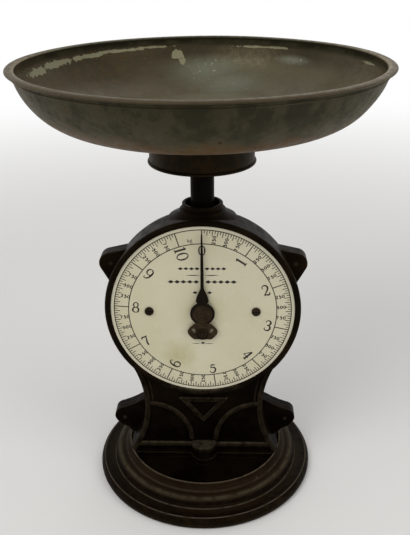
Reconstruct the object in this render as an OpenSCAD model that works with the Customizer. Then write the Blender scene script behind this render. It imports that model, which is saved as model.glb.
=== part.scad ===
// Household spring balance: a round pan on a post, a clock dial in a waisted cast casing,
// and a round moulded base. Millimetres, +Z up, front towards -Y, origin under the base's centre.

/* [Dial and casing] */
// Radius of the enamelled dial
dial_r = 75; // [74:0.5:76]
// Height of the dial's centre above the table
dial_z = 165.4; // [164:0.2:167]
// Thickness of the cast walls
wall = 4; // [3.5:0.1:4.5]
// Half the depth of each side lug
lug_half = 6.2; // [5.6:0.1:6.6]
// Radius of the mouth that the post runs through
mouth_r = 13.8; // [12.5:0.1:14]

/* [Base] */
// Largest radius of the base, over its rounded plinth
base_r = 96; // [93:0.2:97]
// Radius of the sharp ring around the sunken floor
base_ring_r = 68.2; // [67.8:0.1:69]

/* [Pan] */
// Largest radius of the pan, over its rolled rim
pan_r = 141.5; // [138:0.5:146]
// Height of the pan's flat bottom above the table
pan_z = 312.5; // [312:0.1:314]
// Radius of the gentle dishing around the flat bottom
pan_dish_r = 258; // [250:2:270]
// Radius of the bend between the dished bottom and the side
pan_bend_r = 51.5; // [49:0.5:54]
// Thickness of the tin
tin = 0.9; // [0.7:0.1:1.2]
// Radius of the collar under the pan
collar_r = 41; // [40:0.2:42]

/* [Mechanism] */
// Radius of the post
post_r = 9.45; // [9.2:0.05:9.6]
// Teeth on the pinion
pinion_teeth = 12; // [12:1:12]
// Radius of the pinion's pitch circle
pinion_r = 4; // [3.9:0.05:4.05]
// Turns of each weighing spring
spring_turns = 16; // [12:1:18]
// Diameter of the spring wire
spring_wire = 1.75; // [1.5:0.05:1.9]
// Faces on a full turn of a round surface
smooth = 72; // [48:12:96]

/* [Hidden] */
$fn = smooth;
eps = 0.01;

// Colours, as the old finish shows them
japan_black = [0.10, 0.085, 0.075];
enamel_ivory = [0.87, 0.85, 0.78];
dark_tin = [0.33, 0.34, 0.30];
blued_steel = [0.16, 0.15, 0.15];
bright_steel = [0.62, 0.62, 0.60];
yellow_brass = [0.72, 0.58, 0.28];

// Base
floor_z = 19;
floor_t = 5.5;
plinth_z = 10.1;
plinth_w = 6.4;
ledge_r = 82.4;
torus_r = 5.9;
torus_c = [ledge_r - torus_r, 12.4];
ring_z = 25.3;
cove_r = 6;
cove_c = [base_ring_r + 7, ring_z - 0.5];

// Casing: planes along Y and the pedestal's outline
dial_front = -25.4;
dial_t = 1.2;
face_y = -24.5;
rim_front = -27.6;
back_y = 22.5;
back_bend = 21;
ped_back_y = 21.5;
drum_r = dial_r + 3.6;
rim_r = dial_r + 5.1;
side_arc_r = 86;
waist = 50.6;
waist_z = 75;
ped_top_z = 112;
foot_r = 65.9;
foot_z = 24.3;
foot_y = 27.5;
ring_clear_z = 26;
bead_z = 32.4;
boss_r = 11;
ear_lobe = [76.4, 200.1];
foot_lobe = [72.6, 48.2];
lobe_r = 9.1;
boss_under_r = 5.6;
arch_r = 37.5;
arch_c = [48, 38.5];
neck_top = 251.6;
neck_r = 16.4;

// Screws and bolts
lug_screw_r = 2;
ear_screw = [76, 200];
foot_lug_screw = [72.5, 46.5];
foot_bolt = [54, 15.5];
foot_bolt_r = 2.5;
dial_screw_x = 43.6;
dial_screw_z = dial_z + 0.8;
dial_screw_r = 2;
bridge_screw_x = 58;
bridge_screw_r = 2;

// Spindle, pinion and rack
spindle_r = 1.5;
running = 0.05;
bridge_front = -14;
bridge_t = 2.8;
cheek_front = -23.4;
cheek_t = 2;
gear_y = [-20.6, -16.2];
gear_module = 2 * pinion_r / pinion_teeth;
gear_pitch = PI * gear_module;
pressure = 20;
pinion_tip_r = pinion_r + 0.95 * gear_module;
pinion_root_r = pinion_r - 1.05 * gear_module;
rack_add = 0.68 * gear_module;
rack_ded = 1.28 * gear_module;
backlash = 0.08;
rack_root_x = pinion_r + rack_ded;
rack_back_x = 9.5;
rack_foot_z = [[146, 154], [199, 207]];
rack_h = rack_foot_z[1][1] - rack_foot_z[0][0];
flat_y = -8.5;

// Post, crossbar and springs
post_foot_z = 112;
post_head_z = pan_z - 14;
head_tenon_r = 6;
plate_t = 4.5;
bar_half = 42;
bar_z = [104, 112];
bar_half_y = 6;
spigot_r = 5;
spring_x = 34;
spring_r = 7;
eye_r = 4;
eye_wire_r = 1.5;
eye_stem_r = 2;
stem_past = 5;
eye_nut_h = 3.4;
top_eye_z = 206;
low_eye_z = 120;
hanger_z = [214, 220];
loop_r = 5;
loop_gap = eye_r - eye_wire_r - spring_wire / 2 - 0.1;

// Steady links
link_pivot_x = -38;
link_rise = 12;
link_y = [11, 13.5];
link_pivot_z = [190, 112];
link_pin_r = 2.5;
link_end_r = 5.5;
post_pin_r = 2;
slot_slack = 0.45;

// Pan
roll_r = 3.1;
roll_c = [pan_r - roll_r, pan_z + 45.9];
flat_r = 45;
dish_c = [flat_r, pan_z + pan_dish_r];
bend_x = pan_r - 55;
bend_c = [bend_x, dish_c[1] - sqrt(pow(pan_dish_r - pan_bend_r, 2) - pow(bend_x - flat_r, 2))];
lip_z = 285.2;

// Extrudes a flat X-Z shape along Y, from y0 to y1
module slab(y0, y1) {
    translate([0, y1, 0]) rotate([90, 0, 0]) linear_extrude(y1 - y0) children();
}

// Turns an outline of radius against Y about the dial's axis
module turned() {
    translate([0, 0, dial_z]) rotate([-90, 0, 0]) rotate_extrude() children();
}

// A round bar along Y
module rod_y(x, z, r, y0, y1, faces = smooth) {
    translate([x, y1, z]) rotate([90, 0, 0]) cylinder(r = r, h = y1 - y0, $fn = faces);
}

// A round bar bent to an arc about a point of the X-Z plane, angles from +X towards +Z
module bent_bar(c, arc, r, y, from, to) {
    translate([c[0], y, c[1]]) rotate([90, 0, 0]) rotate([0, 0, from])
        rotate_extrude(angle = to - from) translate([arc, 0]) circle(r = r, $fn = 24);
}

module both_sides() {
    children();
    mirror([1, 0, 0]) children();
}

// Points along an arc of a flat outline, angles from +X
function arc(c, r, from, to, steps) =
    [for (i = [0 : steps]) let (a = from + (to - from) * i / steps) c + r * [cos(a), sin(a)]];

// Base

module base() {
    color(japan_black) difference() {
        rotate_extrude() polygon(concat(
            [[0, floor_z - floor_t], [68, floor_z - floor_t], [75, 12.6], [77, 6.4],
             [base_r - plinth_w - 0.8, 5.6], [base_r - plinth_w, 0],
             [base_r - 2, 0], [base_r - 0.7, 1.3], [base_r, 3.4], [base_r, 5.2], [base_r - 0.5, 7],
             [base_r - 1.4, plinth_z - 1.5], [base_r - 2.4, plinth_z - 0.5], [base_r - 3.3, plinth_z],
             [ledge_r + 0.5, plinth_z]],
            arc(torus_c, torus_r, -12, 90, 8),
            arc(cove_c, cove_r, 270, 180, 6),
            [[base_ring_r + 0.6, ring_z], [base_ring_r - 0.4, ring_z], [base_ring_r - 0.9, ring_z - 0.5],
             [base_ring_r - 1.8, floor_z], [0, floor_z]]
        ));
        for (sx = [-1, 1], sy = [-1, 1]) translate([sx * foot_bolt[0], sy * foot_bolt[1], 0])
            cylinder(r = foot_bolt_r + 0.3, h = floor_z + 1);
    }
}

// Casing

// Waisted outline of the pedestal; a thicker grow makes it narrower
module pedestal_outline(grow = 0, top = ped_top_z) {
    difference() {
        translate([-72, floor_z]) square([144, top - floor_z]);
        for (s = [-1, 1])
            translate([s * (waist + side_arc_r), waist_z]) circle(r = side_arc_r + grow, $fn = 144);
    }
}

// Ear beside the drum: a round lobe, a nearly level top and a straight lower edge
module ear_outline() {
    polygon([[50, 186], [54, 214], [63, 212.5], [78.4, 209], [84.4, 195.8], [79.6, 187], [74, 177]]);
    translate(ear_lobe) circle(r = lobe_r);
}

// Lug beside the pedestal's foot: a shoulder, a round lobe and a cut-back underside
module foot_lug_outline() {
    polygon([
        [44, 72], [52, 67.6], [57, 65], [62, 62], [68.2, 59], [74.8, 56.4],
        [78.7, 42.1], [75.4, 38.6], [69.5, 35.5], [65.5, 30.5], [46, 26]
    ]);
    translate(foot_lobe) circle(r = lobe_r - 0.5);
}

// The two lugs of one side of one casing half, and the foot that stands on the base
module lugs_and_foot(y0, y1) {
    both_sides() slab(y0, y1) {
        ear_outline();
        foot_lug_outline();
    }
}

module foot(front) {
    translate([0, 0, floor_z]) linear_extrude(foot_z - floor_z) intersection() {
        circle(r = foot_r);
        translate([-foot_r, front ? -foot_y : 0]) square([2 * foot_r, foot_y]);
    }
}

// Room inside both halves: the drum, the pedestal and the hole in the foot
module pedestal_room(y0, y1) {
    slab(y0, y1) difference() {
        pedestal_outline(grow = wall, top = ped_top_z + 14);
        translate([-80, 0]) square([160, foot_z + eps]);
    }
}

module foot_hole() {
    translate([-44, -15, floor_z - 1]) cube([88, 30, 20]);
}

module foot_bosses(side) {
    for (sx = [-1, 1]) translate([sx * foot_bolt[0], side * foot_bolt[1], floor_z])
        cylinder(r = boss_under_r, h = 15);
}

module foot_bolt_holes(side) {
    for (sx = [-1, 1]) translate([sx * foot_bolt[0], side * foot_bolt[1], floor_z - 1])
        cylinder(r = foot_bolt_r + 0.03, h = 13.5);
}

// Keeps the casing clear of the ring around the base's floor
module ring_clearance() {
    difference() {
        translate([0, 0, floor_z - 1]) cylinder(r = 100, h = ring_clear_z - floor_z + 1);
        translate([0, 0, floor_z - 2]) cylinder(r = foot_r, h = ring_clear_z - floor_z + 3);
    }
}

// Neck on top of the drum: a hollow mouth, a ring under it and a flare into the drum
module neck() {
    rotate_extrude() translate([0, neck_top]) polygon([
        [mouth_r, -22], [mouth_r, -0.6], [mouth_r + 0.6, 0],
        [neck_r - 0.5, 0], [neck_r, -0.5], [neck_r, -3.4], [neck_r - 0.8, -3.8], [neck_r - 0.8, -4.4],
        [neck_r + 1.8, -4.9], [neck_r + 2.2, -5.4], [neck_r + 2.2, -6],
        [neck_r + 3.4, -7.4], [neck_r + 6.5, -9.4], [neck_r + 11, -12], [neck_r + 11, -15],
        [mouth_r + 4, -20]
    ]);
}

module post_way() {
    translate([0, 0, dial_z + 60]) cylinder(r = mouth_r, h = 40);
}

room_r = drum_r - wall - 0.5;
bend_at = [drum_r - back_bend, back_y - back_bend];

module drum_front() {
    turned() polygon([
        [0, rim_front + 2], [dial_r, rim_front + 2],
        [dial_r + 0.6, -27], [dial_r + 1.2, -27.4], [dial_r + 2, rim_front],
        [dial_r + 3.4, -27.2], [rim_r - 0.4, -26.3], [rim_r, -25], [rim_r, -23.4], [rim_r - 0.5, -22.4],
        [drum_r, -21.4], [drum_r, 0], [0, 0]
    ]);
}

// The way through the front: the dial's seat, the ledge behind it and the room
module drum_front_room() {
    turned() polygon([
        [0, 1], [room_r, 1], [room_r, face_y + wall],
        [dial_r - 5, face_y + wall], [dial_r - 5, dial_front + dial_t],
        [dial_r + 0.2, dial_front + dial_t], [dial_r + 0.2, -40], [0, -40]
    ]);
}

// The drum's back, its edge rounded with a large bend
module drum_rear() {
    turned() polygon(concat([[0, 0], [drum_r, 0]], arc(bend_at, back_bend, 0, 90, 10), [[0, back_y]]));
}

module drum_rear_room() {
    turned() polygon(concat(
        [[0, -1], [room_r, -1]],
        arc(bend_at, back_bend - wall - 0.5, 0, 90, 8),
        [[0, back_y - wall - 0.5]]
    ));
}

// Bosses behind the dial that carry its screws and the spindle's bridge
module dial_arms() {
    half_h = 5.2;
    reach = 9;
    seat_y = dial_front + dial_t;
    both_sides() {
        translate([bridge_screw_x - 6, seat_y, dial_z - half_h])
            cube([drum_r - bridge_screw_x + 4, bridge_front - seat_y, 2 * half_h]);
        translate([dial_screw_x, seat_y, dial_z - half_h])
            cube([bridge_screw_x - dial_screw_x, reach, 2 * half_h]);
        rod_y(dial_screw_x, dial_z, half_h, seat_y, seat_y + reach);
    }
}

// A band of an arc about a point of the X-Z plane, angles from +X towards +Z
module arc_band(c, arc, half_w, from, to) {
    far = 3 * arc;
    mid = (from + to) / 2;
    intersection() {
        translate(c) difference() {
            circle(r = arc + half_w, $fn = 144);
            circle(r = arc - half_w, $fn = 144);
        }
        translate(c) polygon([
            [0, 0], far * [cos(from), sin(from)], far * [cos(mid), sin(mid)], far * [cos(to), sin(to)]
        ]);
    }
}

// A rounded moulding in three narrowing steps, standing on the face at y and growing to the front
module stepped_band(c, arc, half_w, height, from, to, y) {
    slab(y - 0.5 * height, y + 1) arc_band(c, arc, half_w, from, to);
    slab(y - 0.8 * height, y - 0.5 * height + eps) arc_band(c, arc, 0.82 * half_w, from, to);
    slab(y - height, y - 0.8 * height + eps) arc_band(c, arc, 0.5 * half_w, from, to);
}

// Raised mouldings on the pedestal's face
module face_mouldings() {
    edge_c = [waist + side_arc_r, waist_z];
    both_sides() {
        stepped_band(edge_c, side_arc_r + 2.2, 2.2, 3.4, 180 - 26, 180 + 33, face_y);
        slab(face_y - 0.8, face_y + 1) arc_band(edge_c, side_arc_r + 6.6, 0.8, 180 - 22, 180 - 1.5);
        stepped_band([-arch_c[0], arch_c[1]], arch_r, 2, 2.8, 1, 93, face_y);
        translate([boss_r - 2, face_y - 0.6, bead_z]) rotate([0, 90, 0]) cylinder(r = 2.7, h = 61 - boss_r);
    }
    slab(face_y - 2, face_y + 1) difference() {
        polygon([[-21, 82], [21, 82], [0, 57.4]]);
        polygon([[-13.4, 78.2], [13.4, 78.2], [0, 62.5]]);
    }
}

// Sunken quarter panels under the arches
module arch_panels() {
    both_sides() slab(face_y - 1, face_y + 1.4) intersection() {
        union() {
            translate([-arch_c[0], arch_c[1]]) circle(r = arch_r - 1);
            translate([-66, bead_z]) square([66 - arch_c[0], arch_r + arch_c[1] - bead_z - 1]);
        }
        translate([-66, bead_z]) square([66 - boss_r, 60]);
        pedestal_outline(grow = 3.5);
    }
}

// Half-round corbel at the foot of the pedestal, with the foot bulging around it
module corbel() {
    stem_r = 6.8;
    intersection() {
        translate([0, face_y - 2, foot_z]) {
            translate([0, 0, floor_z - foot_z]) cylinder(r = boss_r + 0.4, h = foot_z - floor_z);
            translate([0, 0, -eps]) cylinder(r = stem_r, h = 3.2);
            translate([0, 0, 3]) cylinder(r1 = stem_r, r2 = boss_r - 0.6, h = 5.4);
            translate([0, 0, 8.3]) cylinder(r = boss_r, h = 2.7);
            translate([0, 0, 11 - eps]) cylinder(r1 = boss_r, r2 = boss_r - 1.4, h = 1.2);
        }
        translate([-20, -60, 0]) cube([40, 60 + face_y + 1, 60]);
    }
}

module front_casing() {
    color(japan_black) difference() {
        union() {
            difference() {
                union() {
                    drum_front();
                    slab(face_y, 0) pedestal_outline();
                    lugs_and_foot(-lug_half, 0);
                    intersection() {
                        neck();
                        translate([-40, -40, 200]) cube([80, 40, 80]);
                    }
                }
                pedestal_room(face_y + wall, 1);
                drum_front_room();
                arch_panels();
            }
            face_mouldings();
            corbel();
            intersection() {
                dial_arms();
                turned() polygon([[0, -40], [drum_r - 1, -40], [drum_r - 1, 0], [0, 0]]);
            }
            difference() {
                foot(true);
                foot_hole();
            }
            foot_bosses(-1);
        }
        rod_y(0, dial_z, dial_r + 0.2, -40, dial_front + dial_t);
        post_way();
        ring_clearance();
        foot_bolt_holes(-1);
        both_sides() {
            rod_y(ear_screw[0], ear_screw[1], lug_screw_r + 0.03, -5, 1);
            rod_y(foot_lug_screw[0], foot_lug_screw[1], lug_screw_r + 0.03, -5, 1);
            rod_y(dial_screw_x, dial_screw_z, dial_screw_r + 0.03, -40, dial_front + dial_t + 7.5);
            rod_y(bridge_screw_x, dial_z, bridge_screw_r + 0.03, bridge_front - 6.5, bridge_front + 1);
        }
    }
}

module rear_casing() {
    color(japan_black) difference() {
        union() {
            difference() {
                union() {
                    drum_rear();
                    slab(0, ped_back_y) pedestal_outline();
                    lugs_and_foot(0, lug_half);
                    intersection() {
                        neck();
                        translate([-40, 0, 200]) cube([80, 40, 80]);
                    }
                }
                pedestal_room(-1, ped_back_y - wall);
                drum_rear_room();
            }
            difference() {
                foot(false);
                foot_hole();
            }
            foot_bosses(1);
            for (z = link_pivot_z) rod_y(link_pivot_x, z, 6, link_y[1] + 0.3, ped_back_y - 1);
            both_sides() translate([spring_x - 6, -5, hanger_z[0]])
                cube([12, back_y + 1.3, hanger_z[1] - hanger_z[0]]);
        }
        post_way();
        ring_clearance();
        foot_bolt_holes(1);
        for (z = link_pivot_z) rod_y(link_pivot_x, z, link_pin_r + 0.02, link_y[1] - 1, link_y[1] + 7.2);
        both_sides() {
            rod_y(ear_screw[0], ear_screw[1], lug_screw_r + 0.3, -1, lug_half + 1);
            rod_y(foot_lug_screw[0], foot_lug_screw[1], lug_screw_r + 0.3, -1, lug_half + 1);
            translate([spring_x, 0, hanger_z[0] - 1]) cylinder(r = eye_stem_r + 0.03, h = 12);
        }
    }
}

// Fasteners

module slotted_screw(r, head_r, head_h, length) {
    difference() {
        union() {
            cylinder(r = head_r, h = head_h - 0.4);
            translate([0, 0, head_h - 0.4 - eps]) cylinder(r1 = head_r, r2 = head_r - 0.5, h = 0.4);
            translate([0, 0, -length]) cylinder(r = r, h = length + eps);
        }
        translate([-head_r - 1, -0.5, head_h - 0.9]) cube([2 * head_r + 2, 1, 2]);
    }
}

module hex_nut(across, bore, h) {
    difference() {
        cylinder(r = across / sqrt(3), h = h, $fn = 6);
        translate([0, 0, -1]) cylinder(r = bore, h = h + 2, $fn = 36);
    }
}

module casing_screws() {
    color(blued_steel) both_sides() for (p = [ear_screw, foot_lug_screw])
        translate([p[0], lug_half, p[1]]) rotate([-90, 0, 0])
            slotted_screw(lug_screw_r, 4.2, 2.8, lug_half + 4.6);
}

module base_bolts() {
    color(blued_steel) for (sx = [-1, 1], sy = [-1, 1])
        translate([sx * foot_bolt[0], sy * foot_bolt[1], floor_z - floor_t]) {
            translate([0, 0, -3.4]) cylinder(r = 4.6, h = 3.4, $fn = 6);
            translate([0, 0, -eps]) cylinder(r = foot_bolt_r, h = 17);
        }
}

module dial_screws() {
    color(blued_steel) both_sides() translate([dial_screw_x, dial_front, dial_screw_z]) rotate([90, 0, 0])
        slotted_screw(dial_screw_r, 3.65, 1.7, 8);
}

module bridge_screws() {
    color(bright_steel) both_sides() translate([bridge_screw_x, bridge_front + bridge_t, dial_z])
        rotate([-90, 0, 0]) slotted_screw(bridge_screw_r, 3.4, 2, bridge_t + 6);
}

module rack_screws() {
    color(bright_steel) for (z = rack_foot_z) translate([0, gear_y[0], (z[0] + z[1]) / 2]) rotate([90, 0, 0])
        slotted_screw(1.5, 2.7, 1.6, 18);
}

// Dial

module dial_plate() {
    color(enamel_ivory) difference() {
        rod_y(0, dial_z, dial_r, dial_front, dial_front + dial_t, 2 * smooth);
        rod_y(0, dial_z, 3.2, dial_front - 1, dial_front + dial_t + 1);
        both_sides()
            rod_y(dial_screw_x, dial_screw_z, dial_screw_r + 0.2, dial_front - 1, dial_front + dial_t + 1);
    }
}

// Bearing bracket of the spindle: a bar across the drum with a cheek in front of the pinion
module spindle_bridge() {
    half_l = bridge_screw_x + 6;
    half_h = 4.8;
    arm_x = -13;
    color(yellow_brass) difference() {
        union() {
            translate([-half_l, bridge_front, dial_z - half_h]) cube([2 * half_l, bridge_t, 2 * half_h]);
            translate([arm_x, cheek_front, dial_z - half_h])
                cube([3.5, bridge_front - cheek_front + 1, 2 * half_h]);
            translate([arm_x, cheek_front, dial_z - half_h]) cube([-arm_x, cheek_t, 2 * half_h]);
            rod_y(0, dial_z, half_h, cheek_front, cheek_front + cheek_t);
        }
        rod_y(0, dial_z, spindle_r + running, -40, 0);
        both_sides() translate([bridge_screw_x, bridge_front + bridge_t + 1, dial_z]) rotate([90, 0, 0])
            cylinder(r = bridge_screw_r + 0.15, h = bridge_t + 2);
    }
}

// Springs and the eyebolts they hang between

module eyebolt(eye_z, stem_z) {
    bent_bar([0, eye_z], eye_r, eye_wire_r, 0, 0, 360);
    way = sign(stem_z - eye_z);
    low = min(eye_z + way * (eye_r - 0.5), stem_z);
    high = max(eye_z + way * (eye_r - 0.5), stem_z);
    translate([0, 0, low]) cylinder(r = eye_stem_r, h = high - low, $fn = 36);
}

module upper_eyebolts() {
    color(bright_steel) for (s = [-1, 1]) translate([s * spring_x, 0, 0])
        eyebolt(top_eye_z, hanger_z[1] + stem_past);
}

module upper_eyebolt_nuts() {
    color(bright_steel) for (s = [-1, 1]) translate([s * spring_x, 0, hanger_z[1]])
        hex_nut(6.5, eye_stem_r + 0.05, eye_nut_h);
}

module lower_eyebolts() {
    color(bright_steel) for (s = [-1, 1]) translate([s * spring_x, 0, 0])
        eyebolt(low_eye_z, bar_z[0] - stem_past);
}

module lower_eyebolt_nuts() {
    color(bright_steel) for (s = [-1, 1]) translate([s * spring_x, 0, bar_z[0] - eye_nut_h])
        hex_nut(7, eye_stem_r + 0.05, eye_nut_h);
}

// Centre line of a spring: an end loop across Y, the coil, and the other end loop
coil_steps = 8;
loop_top = top_eye_z - loop_gap - loop_r;
loop_low = low_eye_z + loop_gap + loop_r;
coil_top = loop_top - 9;
coil_low = loop_low + 9;
function end_loop(z, up) = [for (i = [0 : 8]) let (a = -50 + i * 33)
    [0, loop_r * cos(a), z + up * loop_r * sin(a)]];
coil_drop = (coil_top - coil_low) / (spring_turns * coil_steps);
coil_line = [for (i = [0 : spring_turns * coil_steps]) let (a = -90 + i * 360 / coil_steps)
    [spring_r * cos(a), spring_r * sin(a), coil_top - coil_drop * i]];
low_loop = end_loop(loop_low, -1);
spring_line = concat(
    end_loop(loop_top, 1),
    [[0.5, -5.9, coil_top + 1.8]],
    coil_line,
    [[-0.5, -5.9, coil_low - 1.8]],
    [for (i = [8 : -1 : 0]) low_loop[i]]
);

function unit(v) = v / norm(v);
function along(p, i) = unit(p[min(i + 1, len(p) - 1)] - p[max(i - 1, 0)]);
function square_to(n, t) = unit(n - t * (n * t));

// One unbroken tube along a line of points
module tube(p, r, sides) {
    last = len(p) - 1;
    side_dirs = [for (i = 0, n = square_to([1, 0, 0], along(p, 0)); i <= last;
        n = i < last ? square_to(n, along(p, i + 1)) : n, i = i + 1) n];
    rings = [for (i = [0 : last]) let (t = along(p, i), n = side_dirs[i], b = cross(t, n))
        [for (k = [0 : sides - 1]) let (a = 360 * k / sides) p[i] + r * (cos(a) * n + sin(a) * b)]];
    points = [for (ring = rings) for (q = ring) q];
    walls = [for (i = [0 : last - 1], k = [0 : sides - 1])
        let (k1 = (k + 1) % sides, a = i * sides + k, b = i * sides + k1, c = a + sides, d = b + sides)
        each [[a, c, b], [b, c, d]]];
    first_cap = [for (k = [1 : sides - 2]) [0, k, k + 1]];
    last_cap = [for (k = [1 : sides - 2]) [last * sides, last * sides + k + 1, last * sides + k]];
    polyhedron(points = points, faces = concat(walls, first_cap, last_cap), convexity = 8);
}

// Least gap between one turn and another, measured on the line's points
least_gap = min([for (i = [0 : len(coil_line) - 1], j = [i + coil_steps / 2 : 1 : len(coil_line) - 1])
    norm(coil_line[i] - coil_line[j])]) - spring_wire;
echo(spring_least_gap_mm = least_gap);

module left_spring() {
    color(bright_steel) translate([-spring_x, 0, 0]) tube(spring_line, spring_wire / 2, 6);
}

module right_spring() {
    color(bright_steel) translate([spring_x, 0, 0]) tube(spring_line, spring_wire / 2, 6);
}

// Load frame

module post() {
    color(japan_black) difference() {
        union() {
            translate([0, 0, post_foot_z]) cylinder(r = post_r, h = post_head_z - post_foot_z);
            translate([0, 0, bar_z[0] - 9]) cylinder(r = spigot_r - 0.03, h = 10 + bar_z[1] - bar_z[0]);
            translate([0, 0, post_head_z - eps]) cylinder(r = head_tenon_r, h = pan_z - post_head_z);
        }
        translate([-15, -20, rack_foot_z[0][0] - 4]) cube([30, 20 + flat_y, rack_h + 8]);
        for (z = rack_foot_z) rod_y(0, (z[0] + z[1]) / 2, 1.53, -20, 0);
        for (z = link_pivot_z) rod_y(0, z + link_rise, post_pin_r + 0.02, 0, 20);
    }
}

module head_plate() {
    color(japan_black) difference() {
        union() {
            translate([0, 0, pan_z - plate_t]) cylinder(r = collar_r - tin - 0.6, h = plate_t);
            translate([0, 0, post_head_z])
                cylinder(r1 = 12, r2 = 15, h = pan_z - plate_t - post_head_z + eps);
        }
        translate([0, 0, post_head_z - 1]) cylinder(r = head_tenon_r + 0.03, h = 20);
        for (a = [0 : 60 : 300]) rotate(a) translate([26, 0, pan_z - plate_t - 1])
            cylinder(r = 6, h = plate_t + 2);
    }
}

module crossbar() {
    color(blued_steel) difference() {
        translate([0, 0, bar_z[0]]) linear_extrude(bar_z[1] - bar_z[0]) {
            square([2 * (bar_half - bar_half_y), 2 * bar_half_y], center = true);
            for (s = [-1, 1]) translate([s * (bar_half - bar_half_y), 0]) circle(r = bar_half_y);
            circle(r = 11);
        }
        translate([0, 0, bar_z[0] - 1]) cylinder(r = spigot_r, h = 20);
        for (s = [-1, 1]) translate([s * spring_x, 0, bar_z[0] - 1]) cylinder(r = eye_stem_r + 0.03, h = 20);
    }
}

module crossbar_nut() {
    color(bright_steel) translate([0, 0, bar_z[0] - 7]) hex_nut(17, spigot_r, 7);
}

// Radius-dependent half width, in degrees, of a tooth with involute flanks
pinion_base_r = pinion_r * cos(pressure);
function inv_deg(a) = tan(a) * 180 / PI - a;
function tooth_half(r) = 90 / pinion_teeth - backlash / pinion_r * 90 / PI
    + inv_deg(pressure) - inv_deg(acos(min(1, pinion_base_r / r)));

module pinion_outline() {
    steps = 4;
    flank = [for (i = [0 : steps]) pinion_base_r + (pinion_tip_r - pinion_base_r) * i / steps];
    radii = concat([pinion_root_r], flank);
    last = len(radii) - 1;
    polygon([for (tooth = [0 : pinion_teeth - 1], side = [-1, 1], i = [0 : last])
        let (
            r = radii[side < 0 ? i : last - i],
            a = tooth * 360 / pinion_teeth + side * tooth_half(max(r, pinion_base_r))
        )
        r * [cos(a), sin(a)]]);
}

module pinion() {
    color(yellow_brass) translate([0, 0, dial_z]) difference() {
        union() {
            slab(gear_y[0], gear_y[1]) pinion_outline();
            rod_y(0, 0, 2.7, gear_y[1] - eps, bridge_front - 0.4);
        }
        rod_y(0, 0, spindle_r + 0.02, -30, 0);
    }
}

module rack_teeth() {
    half = gear_pitch / 4 - backlash / 2;
    tip = half - rack_add * tan(pressure);
    root = half + rack_ded * tan(pressure);
    tip_x = pinion_r - rack_add;
    for (k = [-3 : 13]) translate([0, dial_z + (k + 0.5) * gear_pitch])
        polygon([[tip_x, -tip], [rack_root_x + eps, -root], [rack_root_x + eps, root], [tip_x, tip]]);
}

module rack() {
    foot_x = -4;
    color(yellow_brass) difference() {
        union() {
            slab(gear_y[0], gear_y[1]) {
                rack_teeth();
                translate([rack_root_x, rack_foot_z[0][0]]) square([rack_back_x - rack_root_x, rack_h]);
            }
            for (z = rack_foot_z) translate([foot_x, gear_y[0], z[0]])
                cube([rack_back_x - foot_x, flat_y - gear_y[0], z[1] - z[0]]);
        }
        for (z = rack_foot_z) rod_y(0, (z[0] + z[1]) / 2, 1.6, -30, 0);
    }
}

// Pins of the links: shouldered pins in the post and in the rear casing
module post_pins() {
    color(bright_steel) for (z = link_pivot_z) {
        rod_y(0, z + link_rise, post_pin_r, 1, link_y[1] + 1.2);
        rod_y(0, z + link_rise, 3.4, link_y[1] + 0.6, link_y[1] + 1.8);
    }
}

module link_pivot_pins() {
    color(bright_steel) for (z = link_pivot_z) {
        rod_y(link_pivot_x, z, link_pin_r, link_y[0] - 1, link_y[1] + 7);
        rod_y(link_pivot_x, z, 4, link_y[0] - 1.6, link_y[0] - 0.3);
    }
}

// Steady link, drawn at its rest slope; the eye on the post is a slot
module steady_link(z) {
    reach = [-link_pivot_x, link_rise];
    lean = atan2(reach[1], reach[0]);
    long = norm(reach);
    slot = [long - 2.8, long + 0.6];
    slot_r = post_pin_r + slot_slack;
    color(bright_steel) translate([link_pivot_x, 0, z]) rotate([0, -lean, 0])
        slab(link_y[0], link_y[1]) difference() {
            union() {
                circle(r = link_end_r);
                translate([0, -4]) square([long - 1.5, 8]);
                translate([long - 1.5, 0]) circle(r = link_end_r);
                translate([long - 1.5, -link_end_r]) square([1.5, 2 * link_end_r]);
                translate([long, 0]) circle(r = link_end_r);
            }
            circle(r = link_pin_r + running);
            for (x = slot) translate([x, 0]) circle(r = slot_r);
            translate([slot[0], -slot_r]) square([slot[1] - slot[0], 2 * slot_r]);
        }
}

module upper_link() {
    steady_link(link_pivot_z[0]);
}

module lower_link() {
    steady_link(link_pivot_z[1]);
}

// Pointer and its spindle

module spindle() {
    color(bright_steel) rod_y(0, dial_z, spindle_r, -32.4, bridge_front + bridge_t);
}

// Half of the pointer's outline, from the tip down, out of the dial's centre: the needle swells
// into the hub, and the tail is a bell with a flat end
blade_side = [
    [0, 71.3], [0.75, 68.3], [1.45, 22], [1.8, 19.6], [2.5, 17.2], [3.4, 14.8], [4.5, 12.4],
    [5.6, 10.2], [6.6, 8.4], [7.6, 5.6], [5.7, -7.4], [7, -9], [9.2, -11.1], [11, -13.3],
    [11.9, -15.2], [12, -16.7], [11.5, -18.4], [10.2, -20.2], [8.6, -21.9], [7, -23]
];
hub_r = 9.6;
tail_c = [0, -18.2];

module slot_hole(length, r) {
    for (s = [-1, 1]) translate([0, s * length / 2]) circle(r = r, $fn = 24);
    square([2 * r, length], center = true);
}

module pointer_blade() {
    last = len(blade_side) - 1;
    difference() {
        union() {
            circle(r = hub_r - 0.5);
            polygon(concat(blade_side, [for (i = [last : -1 : 1]) [-blade_side[i][0], blade_side[i][1]]]));
        }
        for (s = [-1, 1]) translate([s * 6.5, -15.8]) rotate(-s * 24) slot_hole(1.8, 0.9);
    }
}

module pointer() {
    color(blued_steel) difference() {
        translate([0, 0, dial_z]) {
            slab(-29.6, -28.4) pointer_blade();
            rod_y(0, 0, hub_r, -30.3, -27.6);
            slab(-30.3, -29.5) translate(tail_c) difference() {
                circle(r = 4);
                circle(r = 2.6);
            }
        }
        rod_y(0, dial_z, spindle_r + 0.02, -40, -20);
    }
}

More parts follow.
